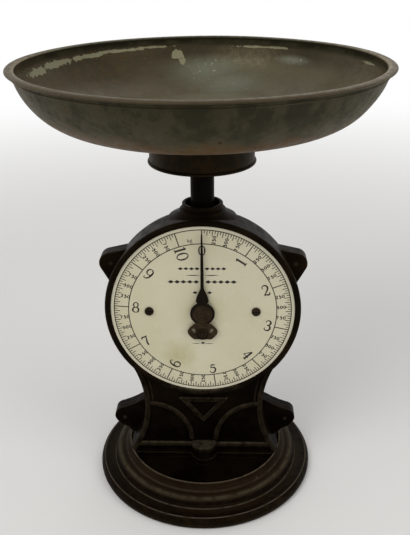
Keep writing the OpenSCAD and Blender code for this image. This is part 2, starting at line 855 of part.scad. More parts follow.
module pointer_cap() {
    color(blued_steel) translate([0, 0, dial_z]) rotate([90, 0, 0]) rotate_extrude() polygon([
        [spindle_r + 0.02, 30.3], [7.5, 30.3], [7.5, 31], [6.9, 31.5], [6.2, 31.5], [5.8, 31.15],
        [5, 31.15], [4.6, 31.6], [3.6, 31.7], [3.2, 31.35], [2.6, 31.35], [2.2, 31.9],
        [spindle_r + 0.02, 31.9]
    ]);
}

// Pan

// Flat middle, dished floor, bend and side of the pan, each running smoothly into the next
module pan() {
    join = atan2(bend_c[1] - dish_c[1], bend_c[0] - dish_c[0]);
    end = asin((roll_c[1] - roll_r - bend_c[1]) / pan_bend_r);
    color(dark_tin) rotate_extrude($fn = 2 * smooth) {
        polygon(concat(
            [[0, pan_z]],
            arc(dish_c, pan_dish_r, -90, join, 4),
            arc(bend_c, pan_bend_r, join, end, 12),
            [roll_c],
            arc(bend_c, pan_bend_r - tin, end, join, 12),
            arc(dish_c, pan_dish_r - tin, join, -90, 4),
            [[0, pan_z + tin]]
        ));
        translate(roll_c) circle(r = roll_r, $fn = 32);
        translate(roll_c - [0.6, roll_r + 0.3]) circle(r = 0.8, $fn = 20);
    }
}

module pan_collar() {
    color(dark_tin) rotate_extrude() {
        polygon([
            [collar_r - tin, lip_z + 0.6], [collar_r, lip_z + 0.6], [collar_r, pan_z - 2.4],
            [collar_r + 4, pan_z - tin], [collar_r + 4, pan_z], [collar_r - tin, pan_z]
        ]);
        translate([collar_r + 0.2, lip_z + 1.1]) circle(r = 1.1, $fn = 24);
    }
}

base();
front_casing();
rear_casing();
casing_screws();
base_bolts();
dial_plate();
dial_screws();
spindle_bridge();
bridge_screws();
upper_eyebolts();
upper_eyebolt_nuts();
left_spring();
right_spring();
link_pivot_pins();
post();
head_plate();
crossbar();
crossbar_nut();
lower_eyebolts();
lower_eyebolt_nuts();
rack();
rack_screws();
post_pins();
spindle();
pinion();
pointer();
pointer_cap();
upper_link();
lower_link();
pan();
pan_collar();
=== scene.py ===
"""Finishes the household spring balance: japanned casting, enamelled dial, shaped pointer and old tin pan.

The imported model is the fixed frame. This script gives every piece its surface, prints the dial, cuts the pointer,
spins the pan with its dents, and sets the floor, the lights and the camera. Lengths are in millimetres, apart from
the studio's, which are in metres as Blender takes them.
"""

import logging
import math
from collections.abc import Iterator, Sequence
from contextlib import contextmanager
from dataclasses import dataclass, field
from enum import Enum

import bpy
from mathutils import Matrix, Vector


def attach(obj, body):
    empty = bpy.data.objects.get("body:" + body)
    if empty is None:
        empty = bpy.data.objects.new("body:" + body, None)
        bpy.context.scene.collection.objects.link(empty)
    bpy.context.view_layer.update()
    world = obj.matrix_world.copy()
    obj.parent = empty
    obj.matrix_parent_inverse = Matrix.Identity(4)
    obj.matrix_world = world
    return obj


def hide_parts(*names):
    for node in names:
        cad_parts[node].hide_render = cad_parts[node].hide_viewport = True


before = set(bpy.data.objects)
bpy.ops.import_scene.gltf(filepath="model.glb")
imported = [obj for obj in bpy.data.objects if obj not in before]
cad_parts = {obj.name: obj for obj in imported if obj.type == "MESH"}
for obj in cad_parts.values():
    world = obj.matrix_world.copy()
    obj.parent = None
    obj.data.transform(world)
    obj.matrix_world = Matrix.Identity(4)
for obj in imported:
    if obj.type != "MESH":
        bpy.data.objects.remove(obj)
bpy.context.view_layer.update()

MM = 0.001
FULL_TURN = 2 * math.pi
SPINDLE = 165.4
Colour = tuple[float, float, float]
Spot = tuple[float, float]
Fade = tuple[float, float]
Place = tuple[float, float, float]
Piece = bpy.types.Object
WHITE: Colour = (1.0, 1.0, 1.0)
log = logging.getLogger("balance")


class Slot(Enum):
    """The record's finish slots."""

    BLUED = "blued_steel"
    TIN = "dark_tin"


class Body(Enum):
    """The bodies that new pieces ride on."""

    STAND = "stand"
    ARBOR = "pointer_arbor"
    PAN = "pan_assembly"


class Sums(Enum):
    """The arithmetic that a finish needs, by the node's own names."""

    ADD = "ADD"
    SUBTRACT = "SUBTRACT"
    TIMES = "MULTIPLY"
    LARGER = "MAXIMUM"
    SMALLER = "MINIMUM"
    ANGLE = "ARCTAN2"
    SINE = "SINE"
    ROOT = "SQRT"
    SIZE = "ABSOLUTE"


@dataclass(frozen=True)
class Value:
    """A number, place or colour in a finish's graph. Numbers are added, subtracted and multiplied like plain ones."""

    graph: "Graph"
    socket: bpy.types.NodeSocket

    def sum(self, kind: Sums, other: "Feed" = 0.0) -> "Value":
        """Works out a sum of this value and another, or of this value alone."""
        return self.graph.sum(kind, self, other)

    def __add__(self, other: "Feed") -> "Value":
        """Adds a value."""
        return self.sum(Sums.ADD, other)

    def __sub__(self, other: "Feed") -> "Value":
        """Takes a value away."""
        return self.sum(Sums.SUBTRACT, other)

    def __rsub__(self, other: float) -> "Value":
        """Takes this value away from a plain number."""
        return self.graph.sum(Sums.SUBTRACT, other, self)

    def __mul__(self, other: "Feed") -> "Value":
        """Multiplies by a value."""
        return self.sum(Sums.TIMES, other)

    def __abs__(self) -> "Value":
        """This value without its sign."""
        return self.sum(Sums.SIZE)

    __radd__, __rmul__ = __add__, __mul__

    def larger(self, other: "Feed") -> "Value":
        """The larger of this value and another."""
        return self.sum(Sums.LARGER, other)

    def step(self, low: float, high: float) -> "Value":
        """A smooth step.

        Args:
            low: Where it is 0.
            high: Where it is 1, which may also be the smaller of the two.

        Returns:
            The value from 0 to 1.
        """
        node = self.graph.add("MapRange")
        node.interpolation_type = "SMOOTHSTEP"
        first, last = (0.0, 1.0) if low < high else (1.0, 0.0)
        return self.graph.fed(node, {"Value": self, "From Min": min(low, high), "From Max": max(low, high),
                                     "To Min": first, "To Max": last}, "Result")


Feed = float | Value
Paint = Colour | Value
Coat = tuple[Feed, Paint]


class Graph:
    """The node tree of a material or of the world."""

    def __init__(self, owner: bpy.types.Material | bpy.types.World) -> None:
        """Starts an empty tree with its output.

        Args:
            owner: The material or world that the tree belongs to.
        """
        owner.use_nodes = True
        self.tree = owner.node_tree
        self.tree.nodes.clear()
        self.output = self.add("OutputWorld" if isinstance(owner, bpy.types.World) else "OutputMaterial")

    def add(self, kind: str) -> bpy.types.Node:
        """Adds a node by the short name of its kind."""
        return self.tree.nodes.new("ShaderNode" + kind)

    def feed(self, node: bpy.types.Node, key: str | int, value: Feed | Sequence[float]) -> None:
        """Links a value to an input, or sets the input's own value.

        Args:
            node: The node that takes the value.
            key: The input's name or number.
            value: A value to link, or a plain number, place or colour.
        """
        socket = node.inputs[key]
        if isinstance(value, Value):
            self.tree.links.new(value.socket, socket)
        else:
            socket.default_value = (*value, 1.0) if socket.type == "RGBA" else value

    def fed(self, node: bpy.types.Node, feeds: dict[str | int, Feed | Sequence[float]], result: str | int = 0) -> Value:
        """Feeds a node's inputs and takes one of its results.

        Args:
            node: The node.
            feeds: What each input takes, by its name or number.
            result: The name or number of the output.

        Returns:
            The result.
        """
        for key, value in feeds.items():
            self.feed(node, key, value)
        return Value(self, node.outputs[result])

    def sum(self, kind: Sums, first: Feed, second: Feed) -> Value:
        """Works out one sum.

        Args:
            kind: Which sum.
            first: Its first value.
            second: Its second value, which some kinds leave aside.

        Returns:
            The result.
        """
        node = self.add("Math")
        node.operation = kind.value
        return self.fed(node, {0: first, 1: second})

    def coats(self, ground: Paint, *coats: Coat) -> Value:
        """Lays coats of colour over a ground.

        Args:
            ground: The colour underneath.
            coats: The share and the colour of each coat, from the lowest up.

        Returns:
            The colour that shows.
        """
        for share, colour in coats:
            node = self.add("Mix")
            node.data_type = "RGBA"
            ground = self.fed(node, {0: share, 6: ground, 7: colour}, 2)
        return ground

    def seen(self) -> Value:
        """Tells what is looked at from what only gives light.

        Returns:
            1 for what the eye, a mirror or glass sees, and 0 for the light that falls on things.
        """
        rays = self.add("LightPath")
        eye, mirror, glass = (self.fed(rays, {}, f"Is {kind} Ray") for kind in ("Camera", "Glossy", "Transmission"))
        return eye.larger(mirror).larger(glass)


class Surface(Graph):
    """A finish's graph, with one short call for each thing that a finish is mixed from."""

    SAMPLES = 6

    def __init__(self, name: str) -> None:
        """Starts a material with its shader and its place and normal on the object.

        Args:
            name: The material's name.
        """
        self.material = bpy.data.materials.new(name)
        super().__init__(self.material)
        self.shader = self.add("BsdfPrincipled")
        self.feed(self.output, "Surface", self.fed(self.shader, {}))
        coordinates = self.add("TexCoord")
        self.place = self.fed(coordinates, {}, "Object")
        self.x, self.y, self.z = (part * (1 / MM) for part in self._parts(self.place))
        self.out = self.length(self.x, self.y)
        _, self.facing_y, self.facing_up = self._parts(self.fed(coordinates, {}, "Normal"))

    def _parts(self, place: Value) -> list[Value]:
        """Splits a place or a direction.

        Args:
            place: The place or direction.

        Returns:
            How far it goes along X, Y and Z.
        """
        node = self.add("SeparateXYZ")
        self.feed(node, 0, place)
        return [Value(self, part) for part in node.outputs]

    def _moved(self, stretch: Sequence[float], shift: float) -> Value:
        """The place on the object, stretched along X, Y and Z, and shifted so that two patterns differ."""
        return self.fed(self.add("Mapping"), {"Vector": self.place, "Location": (shift, 0.7 * shift, -0.4 * shift),
                                              "Scale": [1 / each for each in stretch]})

    def cloud(self, size: float, detail: float = 5, rough: float = 0.55,
              stretch: Sequence[float] = (1, 1, 1), shift: float = 0.0) -> Value:
        """Cloudy variation.

        Args:
            size: The size of its main blotches.
            detail: How many finer layers it has.
            rough: How strong the finer layers are.
            stretch: How much longer it gets along X, Y and Z.
            shift: How far it is moved.

        Returns:
            A value of about 0.3 to 0.7, with 0.5 in the middle.
        """
        return self.fed(self.add("TexNoise"), {"Vector": self._moved(stretch, shift), "Scale": 1 / (size * MM),
                                               "Detail": detail, "Roughness": rough}, "Fac")

    def grains(self, size: float, shift: float = 0.0) -> Value:
        """The distance to the nearest of many scattered points: 0 at a point and about 0.5 between points."""
        feeds = {"Vector": self._moved((1, 1, 1), shift), "Scale": 1 / (size * MM)}
        return self.fed(self.add("TexVoronoi"), feeds, "Distance")

    def edges(self, reach: float, hollow: bool = False) -> Value:
        """Finds the outer edges of a thick piece, or else its hollow corners.

        Args:
            reach: How far from the edge the finish tells it.
            hollow: Whether the corners are wanted.

        Returns:
            1 on an edge or deep in a corner, and 0 on open faces.
        """
        node = self.add("AmbientOcclusion")
        node.samples = self.SAMPLES
        node.inside = not hollow
        node.only_local = True
        return 1 - self.fed(node, {"Distance": reach * MM}, "AO")

    def length(self, across: Value, up: Value) -> Value:
        """How far it is to a spot that lies so far across and so far up."""
        return (across * across + up * up).sum(Sums.ROOT)

    def from_spot(self, across: float, up: float) -> Value:
        """The distance from a spot on the object's front."""
        return self.length(self.x - across, self.z - up)

    def relief(self, height: Value, rounding: float = 0.0) -> None:
        """Raises the surface, over edges that look rounded.

        Args:
            height: How far it is raised.
            rounding: The radius of the edges.
        """
        bump = self.add("Bump")
        if rounding:
            bevel = self.add("Bevel")
            bevel.samples = self.SAMPLES
            self.feed(bump, "Normal", self.fed(bevel, {"Radius": rounding * MM}))
        self.feed(self.shader, "Normal", self.fed(bump, {"Strength": 1.0, "Distance": MM, "Height": height}))

    def finish(self, colour: Paint, roughness: Feed, metal: Feed = 0.0,
               gloss: float = 0.5, tint: Colour = WHITE) -> None:
        """Sets the shader's main values.

        Args:
            colour: The colour of the surface.
            roughness: Its roughness.
            metal: How metallic it is.
            gloss: The level of its mirror reflection, 0.5 for common varnish.
            tint: The colour of that reflection.
        """
        for key, value in (("Base Color", colour), ("Roughness", roughness), ("Metallic", metal),
                           ("Specular IOR Level", gloss), ("Specular Tint", tint)):
            self.feed(self.shader, key, value)


@dataclass(frozen=True)
class Finish:
    """A finish, which its own kind paints."""

    name: str

    def make(self) -> bpy.types.Material:
        """Makes the material.

        Returns:
            The material.
        """
        g = Surface(self.name)
        self.paint(g)
        return g.material

    def paint(self, g: Surface) -> None:
        """Mixes the finish on a new surface."""
        raise NotImplementedError


@dataclass(frozen=True)
class Band:
    """A round band on the base's mouldings, painted lighter as a highlight or darker as shade."""

    radius: float
    reach: float
    tone: Colour
    share: float = 0.9


@dataclass(frozen=True)
class Japan(Finish):
    """Stoved black japan on cast iron, gone brown on the drum and the mouldings and worn through on its edges, with
    painted highlights and painted shade on its ribs, edges and mouldings.
    """

    name: str = "black_japan"
    ground: Colour = (0.0015, 0.0008, 0.0004)
    mottle: Colour = (0.0048, 0.0028, 0.0013)
    browned: Colour = (0.0150, 0.0092, 0.0046)
    # raised and lit colour the pedestal's ribs as painted highlight; the edge colour below is partly wear, partly
    # painted highlight.
    raised: Colour = (0.0135, 0.0100, 0.0056)
    lit: Colour = (0.0440, 0.0360, 0.0220)
    rubbed: Colour = (0.060, 0.042, 0.025)
    dust: Colour = (0.0075, 0.0055, 0.0036)
    chip: Colour = (0.20, 0.17, 0.13)
    tint: Colour = (1.0, 0.78, 0.52)
    gloss: float = 0.022
    wear: float = 0.5
    drum_share: float = 0.75
    drum_front: float = 0.40
    edge_reach: float = 1.8
    corner_reach: float = 9.0
    edge_radius: float = 0.9
    base_top: Fade = (27.0, 25.0)
    floor_edge: Fade = (66.5, 68.5)
    drum_foot: Fade = (96.0, 112.0)
    front_top: Fade = (252.0, 244.0)
    front_side: Fade = (84.0, 78.0)
    rib_front: Fade = (-25.0, -26.2)
    rib_top: Fade = (98.0, 92.0)
    rib_foot: Fade = (26.0, 28.0)
    bands: tuple[Band, ...] = (
        Band(92.0, 9.5, (0.0038, 0.0022, 0.0012), 0.85),
        Band(81.8, 1.8, (0.0036, 0.0020, 0.0010)),
        Band(74.9, 1.2, (0.0085, 0.0058, 0.0032), 0.6),
        Band(68.3, 1.0, (0.0950, 0.0730, 0.0480)),
        Band(72.5, 1.3, (0.0300, 0.0220, 0.0130), 0.8),
        Band(78.5, 2.8, (0.0440, 0.0350, 0.0215), 0.75),
        Band(82.9, 0.7, (0.0600, 0.0500, 0.0350), 0.8),
        Band(92.8, 0.8, (0.0700, 0.0540, 0.0380), 0.8),
    )

    def _banded(self, g: Surface, grime: Value) -> list[Coat]:
        """Lays the bands of painted highlight and painted shade over the base's mouldings.

        Args:
            g: The surface.
            grime: The fine variation that breaks them a little.

        Returns:
            The bands as coats.
        """
        # Painted highlight and painted shade in rings round the base, on its upward faces only.
        broken = g.z.step(*self.base_top) * g.facing_up.step(-0.1, 0.25) * (0.45 + grime.step(0.30, 0.62))
        return [(abs(g.out - band.radius).step(band.reach, 0.0) * broken * band.share, band.tone)
                for band in self.bands]

    def _browned(self, g: Surface) -> Value:
        """Finds where the japan has browned, with less brown on faces turned to the front so that the drum's top and
        sides stay lighter as a painted reflection.

        Args:
            g: The surface.

        Returns:
            1 on the base's mouldings, less on the drum, least on its front, and 0 on the pedestal and sunken floor.
        """
        mouldings = g.out.step(*self.floor_edge) * g.z.step(*self.base_top)
        # Faces turned to the front take less brown, so the drum's top and sides stay lighter: painted reflection.
        front = g.facing_y.step(-0.5, -0.9) * g.z.step(*self.front_top) * abs(g.x).step(*self.front_side)
        return mouldings.larger(g.z.step(*self.drum_foot) * (self.drum_share - front * self.drum_front))

    def paint(self, g: Surface) -> None:
        """Mixes blotches, browning, painted highlights on the ribs, bands of painted highlight and shade, edges that
        are partly worn and partly painted highlight, and chips.

        Args:
            g: The surface.
        """
        blotches = g.cloud(30, 5, 0.62)
        grime = g.cloud(6, 6, 0.6, shift=3.1)
        casting = g.cloud(1.1, 3, 0.5, shift=1.7)
        ripples = g.cloud(11, 3, 0.5, shift=5.3)
        corners = g.edges(self.corner_reach, hollow=True)
        raised = g.y.step(*self.rib_front) * g.z.step(*self.rib_top) * g.z.step(*self.rib_foot)
        # Convex edges that are partly worn through and partly a painted highlight.
        rubbed = (g.edges(self.edge_reach) + grime * 0.5 + blotches * 0.3).step(0.68, 1.02)
        chips = g.grains(9).step(0.060, 0.040) * g.cloud(14, 4, shift=8.2).step(0.57, 0.61)
        tone = g.coats(
            self.ground,
            (blotches.step(0.38, 0.66), self.mottle),
            (self._browned(g) * (0.45 + blotches.step(0.35, 0.65) * 0.5), self.browned),
            # Painted highlight: the ribs standing proud of the pedestal's front are lighter, and lighter still on their
            # upward sides.
            (raised * grime.step(0.30, 0.62), self.raised),
            (raised * g.facing_up.step(0.50, 0.95) * grime.step(0.25, 0.65), self.lit),
            (corners.step(0.35, 0.9) * 0.15, self.dust),
            *self._banded(g, grime),
            (rubbed * self.wear, self.rubbed),
            (chips, self.chip))
        g.relief(casting * 0.07 + ripples * 0.30 - chips * 0.1, self.edge_radius)
        sheen = 0.30 + grime.step(0.35, 0.7) * 0.20 + corners * 0.2 + rubbed * 0.06
        g.finish(tone, sheen, 0.0, self.gloss, self.tint)


@dataclass(frozen=True)
class Enamel(Finish):
    """Glassy ivory enamel on sheet iron, paler on its turned edge, with faint brown stains."""

    name: str = "ivory_enamel"
    ivory: Colour = (0.600, 0.560, 0.400)
    yellowed: Colour = (0.520, 0.475, 0.310)
    edge: Colour = (0.620, 0.580, 0.440)
    stain: Colour = (0.360, 0.315, 0.105)
    hub: Fade = (26.0, 8.0)
    rim: Fade = (72.6, 73.4)
    spill: Spot = (-20.5, 124.5)
    spill_radius: float = 20.0
    spill_ragged: float = 14.0
    glaze: float = 0.25
    glaze_roughness: float = 0.12

    def paint(self, g: Surface) -> None:
        """Mixes yellowing, spots, the stains about the spindle and below it, and the paler edge.

        Args:
            g: The surface.
        """
        age = g.cloud(48, 4, 0.5)
        spots = g.cloud(9, 5, 0.6, shift=2.4)
        out = g.from_spot(0.0, SPINDLE)
        spilt = (g.from_spot(*self.spill) + (spots - 0.5) * self.spill_ragged).step(self.spill_radius, 0.0)
        tone = g.coats(
            self.ivory,
            (age.step(0.40, 0.68) * 0.55, self.yellowed),
            (spots.step(0.58, 0.74) * 0.16, self.stain),
            (out.step(*self.hub) * 0.16 + spilt * 0.50, self.stain),
            (out.step(*self.rim) * 0.85, self.edge))
        g.relief(g.cloud(16, 2, 0.4, shift=6.0) * 0.12, 0.4)
        g.feed(g.shader, "Coat Weight", self.glaze)
        g.feed(g.shader, "Coat Roughness", self.glaze_roughness)
        g.finish(tone, 0.16 + spots.step(0.4, 0.7) * 0.14, 0.0, 0.45)


@dataclass(frozen=True)
class Needle(Finish):
    """Blued steel, black on the needle and the hub's flange, and worn brown with turned rings on its boss and tail."""

    name: str = "worn_pointer"
    black: Colour = (0.0035, 0.0026, 0.0018)
    brown: Colour = (0.0350, 0.0240, 0.0125)
    worn: Colour = (0.060, 0.042, 0.024)
    tint: Colour = (1.0, 0.78, 0.55)
    boss: Fade = (8.3, 7.9)
    tail: float = 18.4
    tail_from: Fade = (SPINDLE - 7.5, SPINDLE - 9.0)
    tail_rings: Fade = (6.4, 5.4)
    pitch: float = 2.5

    def paint(self, g: Surface) -> None:
        """Mixes the worn boss and tail with their rings.

        Args:
            g: The surface.
        """
        patches = g.cloud(5, 5, 0.6, shift=2.7)
        hub, tail = g.from_spot(0.0, SPINDLE), g.from_spot(0.0, SPINDLE - self.tail)
        on_boss, on_tail = hub.step(*self.boss), g.z.step(*self.tail_from)
        brown = on_boss.larger(on_tail) * (0.5 + patches.step(0.36, 0.62) * 0.5)
        rings = (hub.sum(Sums.SMALLER, tail) * (FULL_TURN / self.pitch)).sum(Sums.SINE).step(-0.7, 0.7)
        grooves = tail.step(*self.tail_rings).larger(on_boss) * (1 - rings)
        tone = g.coats(
            self.black,
            (brown, self.brown),
            (grooves * (0.45 + on_tail * 0.5), self.black),
            (g.edges(0.5).step(0.25, 0.6) * brown * 0.5, self.worn))
        g.relief(patches * 0.12 - grooves * 0.2, 0.2)
        g.finish(tone, 0.34 + patches * 0.2, 0.2, 0.12, self.tint)


@dataclass(frozen=True)
class Flake:
    """An oval patch inside the pan: its bearing from the right and spread in degrees, its height and half depth."""

    bearing: float
    spread: float
    height: float
    depth: float


@dataclass(frozen=True)
class OldTin(Finish):
    """Tinned sheet gone dark and green-grey, with bared beige flakes inside and rust below."""

    name: str = "old_dark_tin"
    inside: Colour = (0.108, 0.096, 0.059)
    inside_dark: Colour = (0.082, 0.070, 0.042)
    wall_dark: Colour = (0.022, 0.0170, 0.0088)
    cool: Colour = (0.150, 0.160, 0.116)
    outside: Colour = (0.036, 0.0315, 0.0170)
    outside_dark: Colour = (0.0165, 0.0150, 0.0078)
    outside_pale: Colour = (0.064, 0.056, 0.033)
    rust: Colour = (0.082, 0.042, 0.014)
    rim: Colour = (0.050, 0.036, 0.019)
    rim_back: Colour = (0.0170, 0.0170, 0.0090)
    bared: Colour = (0.205, 0.195, 0.118)
    bright: Colour = (0.34, 0.33, 0.26)
    tint: Colour = (1.0, 0.86, 0.60)
    turning: float = 1.7
    lip: Fade = (137.2, 136.2)
    rim_from: Fade = (358.4, 359.0)
    rim_backward: Fade = (-10.0, 75.0)
    wall: Fade = (88.0, 128.0)
    wall_top: Fade = (336.0, 349.0)
    leftward: Fade = (60.0, -105.0)
    backward: Fade = (40.0, 110.0)
    frontward: Fade = (10.0, -90.0)
    shell_low: Fade = (349.0, 329.0)
    shell_foot: Fade = (339.0, 316.0)
    shell_left: Fade = (-20.0, -120.0)
    flakes: tuple[Flake, ...] = (
        Flake(167, 8, 348.5, 3.0),
        Flake(154, 9, 350.0, 3.0),
        Flake(139, 8, 351.0, 1.8),
        Flake(124, 12, 352.3, 1.3),
        Flake(110, 7, 353.2, 1.0),
        Flake(101.5, 2.8, 347.0, 5.0),
        Flake(99.5, 1.4, 341.0, 2.6),
        Flake(70, 9, 353.0, 1.1),
        Flake(61, 4, 353.2, 0.9),
        Flake(15, 4, 353.0, 1.0),
    )
    # Ovals of painted reflection: a soft bluish sheen on the inner wall.
    sheens: tuple[Flake, ...] = (
        Flake(90, 17, 333.0, 12.0),
        Flake(79, 16, 325.0, 9.0),
        Flake(54, 8, 344.5, 4.0),
    )

    @staticmethod
    def _within(g: Surface, ovals: Sequence[Flake]) -> Value:
        """Finds patches on the pan's wall.

        Args:
            g: The surface.
            ovals: The patches.

        Returns:
            1 in the middle of the nearest one, 0 on its edge and less outside.
        """
        bearing = g.y.sum(Sums.ANGLE, g.x)
        nearest: Feed = -10.0
        for oval in ovals:
            along = (bearing - math.radians(oval.bearing)) * (1 / math.radians(oval.spread))
            up = (g.z - oval.height) * (1 / oval.depth)
            nearest = (1 - g.length(along, up)).larger(nearest)
        return nearest

    def _bowl(self, g: Surface, blotches: Value, fine: Value, flaked: Value) -> Value:
        """Mixes a lighter floor, painted shade on the walls to the left and back and under the rim, a painted bluish
        sheen, rust, scratches that are partly painted glints, and flakes.

        Args:
            g: The surface.
            blotches: The broad variation.
            fine: The fine variation.
            flaked: Where the sheet is bared.

        Returns:
            The colour inside.
        """
        left = g.x.step(*self.leftward)
        # A painted bluish sheen on the inner wall.
        painted_sheen_share = self._within(g, self.sheens).step(-0.30, 1.0) * 0.92
        rusty = (fine * 0.7 + g.y.step(*self.frontward) * 0.10 + left * 0.10).step(0.40, 0.58)
        # Bright specks, mostly where the painted sheen lies: partly scratches, partly painted glints.
        scratches_and_glints = g.cloud(2.0, 3, 0.5, shift=9.1).step(0.655, 0.70) * (0.10 + painted_sheen_share)
        return g.coats(
            self.inside_dark,
            (blotches.step(0.34, 0.62), self.inside),
            # Painted shade on the inner walls, deeper to the left, and in a band under the rim, deeper at the back.
            (g.out.step(*self.wall) * (0.26 + left * 0.55), self.wall_dark),
            (g.z.step(*self.wall_top) * (0.35 + g.y.step(*self.backward) * 0.45), self.wall_dark),
            (painted_sheen_share * (0.45 + fine * 0.5), self.cool),
            (rusty * 0.36, self.rust),
            (scratches_and_glints * 0.8, self.bright),
            (flaked, self.bared))

    def _shell(self, g: Surface, fine: Value, rusty: Value) -> Value:
        """Mixes green-grey stains, paler low down, with rust along the foot and darker spots.

        Args:
            g: The surface.
            fine: The fine variation.
            rusty: Where it rusts.

        Returns:
            The colour outside.
        """
        stains = g.cloud(16, 6, 0.62, (1, 1, 1.3), 7.0)
        return g.coats(
            self.outside_dark,
            (stains.step(0.42, 0.58), self.outside),
            (g.z.step(*self.shell_low) * (0.30 + stains.step(0.40, 0.60) * 0.45), self.outside_pale),
            (rusty * 0.85, self.rust),
            (g.grains(9, 1.3).step(0.20, 0.10) * fine.step(0.42, 0.52) * 0.9, self.outside_dark))

    def paint(self, g: Surface) -> None:
        """Mixes the shell, the bowl and the rolled rim.

        Args:
            g: The surface.
        """
        inner = g.facing_up.step(-0.05, 0.12) * g.out.step(*self.lip)
        blotches = g.cloud(34, 5, 0.6)
        fine = g.cloud(5, 6, 0.65, shift=2.2)
        torn = (g.cloud(7, 6, 0.68, shift=4.4) - 0.5) * 3.0
        patches = self._within(g, self.flakes)
        flaked = (patches + torn).step(0.02, 0.14) * patches.step(-0.9, -0.2)
        rusty = (g.z.step(*self.shell_foot) * 0.50 + g.x.step(*self.shell_left) * 0.10
                 + blotches * 0.7 + fine * 0.6).step(0.77, 0.97)
        tone = g.coats(
            self._shell(g, fine, rusty),
            (inner, self._bowl(g, blotches, fine, flaked)),
            # The rolled rim, darker towards the back as painted shade.
            (g.z.step(*self.rim_from) * (0.55 + fine.step(0.35, 0.65) * 0.45),
             g.coats(self.rim, (g.y.step(*self.rim_backward), self.rim_back))))
        bare = 1 - (flaked * inner).larger(rusty)
        sheen = 0.34 + fine.step(0.35, 0.7) * 0.16 + (1 - inner) * 0.10
        turned = (g.out * (FULL_TURN / self.turning)).sum(Sums.SINE)
        g.relief(turned * 0.0045 + fine * 0.12 + blotches - flaked * 0.08, 0.3)
        g.finish(tone, sheen, bare * (inner * 0.25 + 0.20), 0.20, self.tint)


@dataclass(frozen=True)
class Steel(Finish):
    """Steel or brass: drawn, blued, browned or bright, by its colours."""

    ground: Colour
    worn: Colour
    roughness: float
    metal: float
    gloss: float
    brushing: Sequence[float] = (1, 1, 1)
    tint: Colour = WHITE

    def paint(self, g: Surface) -> None:
        """Mixes worn patches and edges over the ground.

        Args:
            g: The surface.
        """
        patches = g.cloud(9, 5, 0.6, shift=1.2)
        strokes = g.cloud(0.9, 3, 0.5, self.brushing, 4.0)
        tone = g.coats(
            self.ground,
            (patches.step(0.40, 0.66) * 0.5, self.worn),
            ((g.edges(0.7) + patches * 0.4).step(0.55, 0.95) * 0.6, self.worn))
        g.relief(strokes * 0.04 + patches * 0.10, 0.25)
        g.finish(tone, self.roughness + patches.step(0.35, 0.7) * 0.16, self.metal, self.gloss, self.tint)


@dataclass(frozen=True)
class BrownTin(Finish):
    """Tin skirt under the pan, browned and blackened by handling."""

    name: str = "brown_tin"
    dark: Colour = (0.0026, 0.0016, 0.0008)
    brown: Colour = (0.0125, 0.0066, 0.0022)
    green: Colour = (0.0062, 0.0058, 0.0034)
    tint: Colour = (1.0, 0.78, 0.50)

    def paint(self, g: Surface) -> None:
        """Mixes brown patches and fine green ones.

        Args:
            g: The surface.
        """
        patches = g.cloud(14, 6, 0.65, shift=3.3)
        fine = g.cloud(3, 5, 0.6, shift=0.9)
        tone = g.coats(
            self.dark,
            (patches.step(0.42, 0.62), self.brown),
            (fine.step(0.52, 0.66) * 0.6, self.green))
        g.relief(fine * 0.10 + patches * 0.3, 0.25)
        g.finish(tone, 0.36 + fine * 0.2, 0.1, 0.09, self.tint)


@dataclass(frozen=True)
class Ink(Finish):
    """Fired black print on the dial, thin and a little brown."""

    name: str = "fired_ink"
    black: Colour = (0.008, 0.0065, 0.0048)
    thin: Colour = (0.050, 0.042, 0.028)

    def paint(self, g: Surface) -> None:
        """Mixes the thin places.

        Args:
            g: The surface.
        """
        worn = g.cloud(4, 5, 0.6).step(0.45, 0.72)
        g.relief(worn * 0.01)
        g.finish(g.coats(self.black, (worn * 0.5, self.thin)), 0.35, 0.0, 0.3)


@dataclass(frozen=True)
class PaleFloor(Finish):
    """Matt pale floor that fades into the white backdrop."""

    name: str = "pale_floor"
    pale: Colour = (0.80, 0.79, 0.77)
    fade: Fade = (450.0, 1700.0)

    def paint(self, g: Surface) -> None:
        """Mixes the floor, with the fade only for what the eye, a mirror or glass sees.

        Args:
            g: The surface.
        """
        g.finish(self.pale, 0.9, 0.0, 0.1)
        light = g.fed(g.add("Emission"), {"Color": WHITE})
        share = g.seen() * g.out.step(*self.fade)
        g.feed(g.output, "Surface", g.fed(g.add("MixShader"), {0: share, 1: g.fed(g.shader, {}), 2: light}))


def pick(*pieces: Piece) -> None:
    """Selects only the pieces given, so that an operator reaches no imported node.

    Args:
        pieces: The pieces, of which the first is the active one.
    """
    bpy.ops.object.select_all(action="DESELECT")
    for piece in pieces:
        piece.select_set(True)
    if pieces:
        bpy.context.view_layer.objects.active = pieces[0]


def join(pieces: Sequence[Piece], name: str) -> Piece:
    """Joins pieces into one.

    Args:
        pieces: The pieces, of which the first takes the others in.
        name: The name of what comes out.

    Returns:
        The joined piece.
    """
    pick(*pieces)
    if len(pieces) > 1:
        bpy.ops.object.join()
    pieces[0].name = name
    pieces[0].data.name = name
    return pieces[0]


@contextmanager
def editing(weld: float = 0.0) -> Iterator[None]:
    """Opens the active piece in edit mode, all selected, and at the end turns its faces outward.

    Args:
        weld: How near corners are when they are welded first, if they are.

    Yields:
        Nothing.
    """
    bpy.ops.object.mode_set(mode="EDIT")
    bpy.ops.mesh.select_all(action="SELECT")
    yield
    bpy.ops.mesh.select_all(action="SELECT")
    if weld:
        bpy.ops.mesh.remove_doubles(threshold=weld)
    bpy.ops.mesh.normals_make_consistent(inside=False)
    bpy.ops.object.mode_set(mode="OBJECT")


def smooth(piece: Piece, angle: float) -> None:
    """Shades a piece smooth, apart from edges sharper than an angle in degrees."""
    pick(piece)
    bpy.ops.object.shade_smooth_by_angle(angle=math.radians(angle))


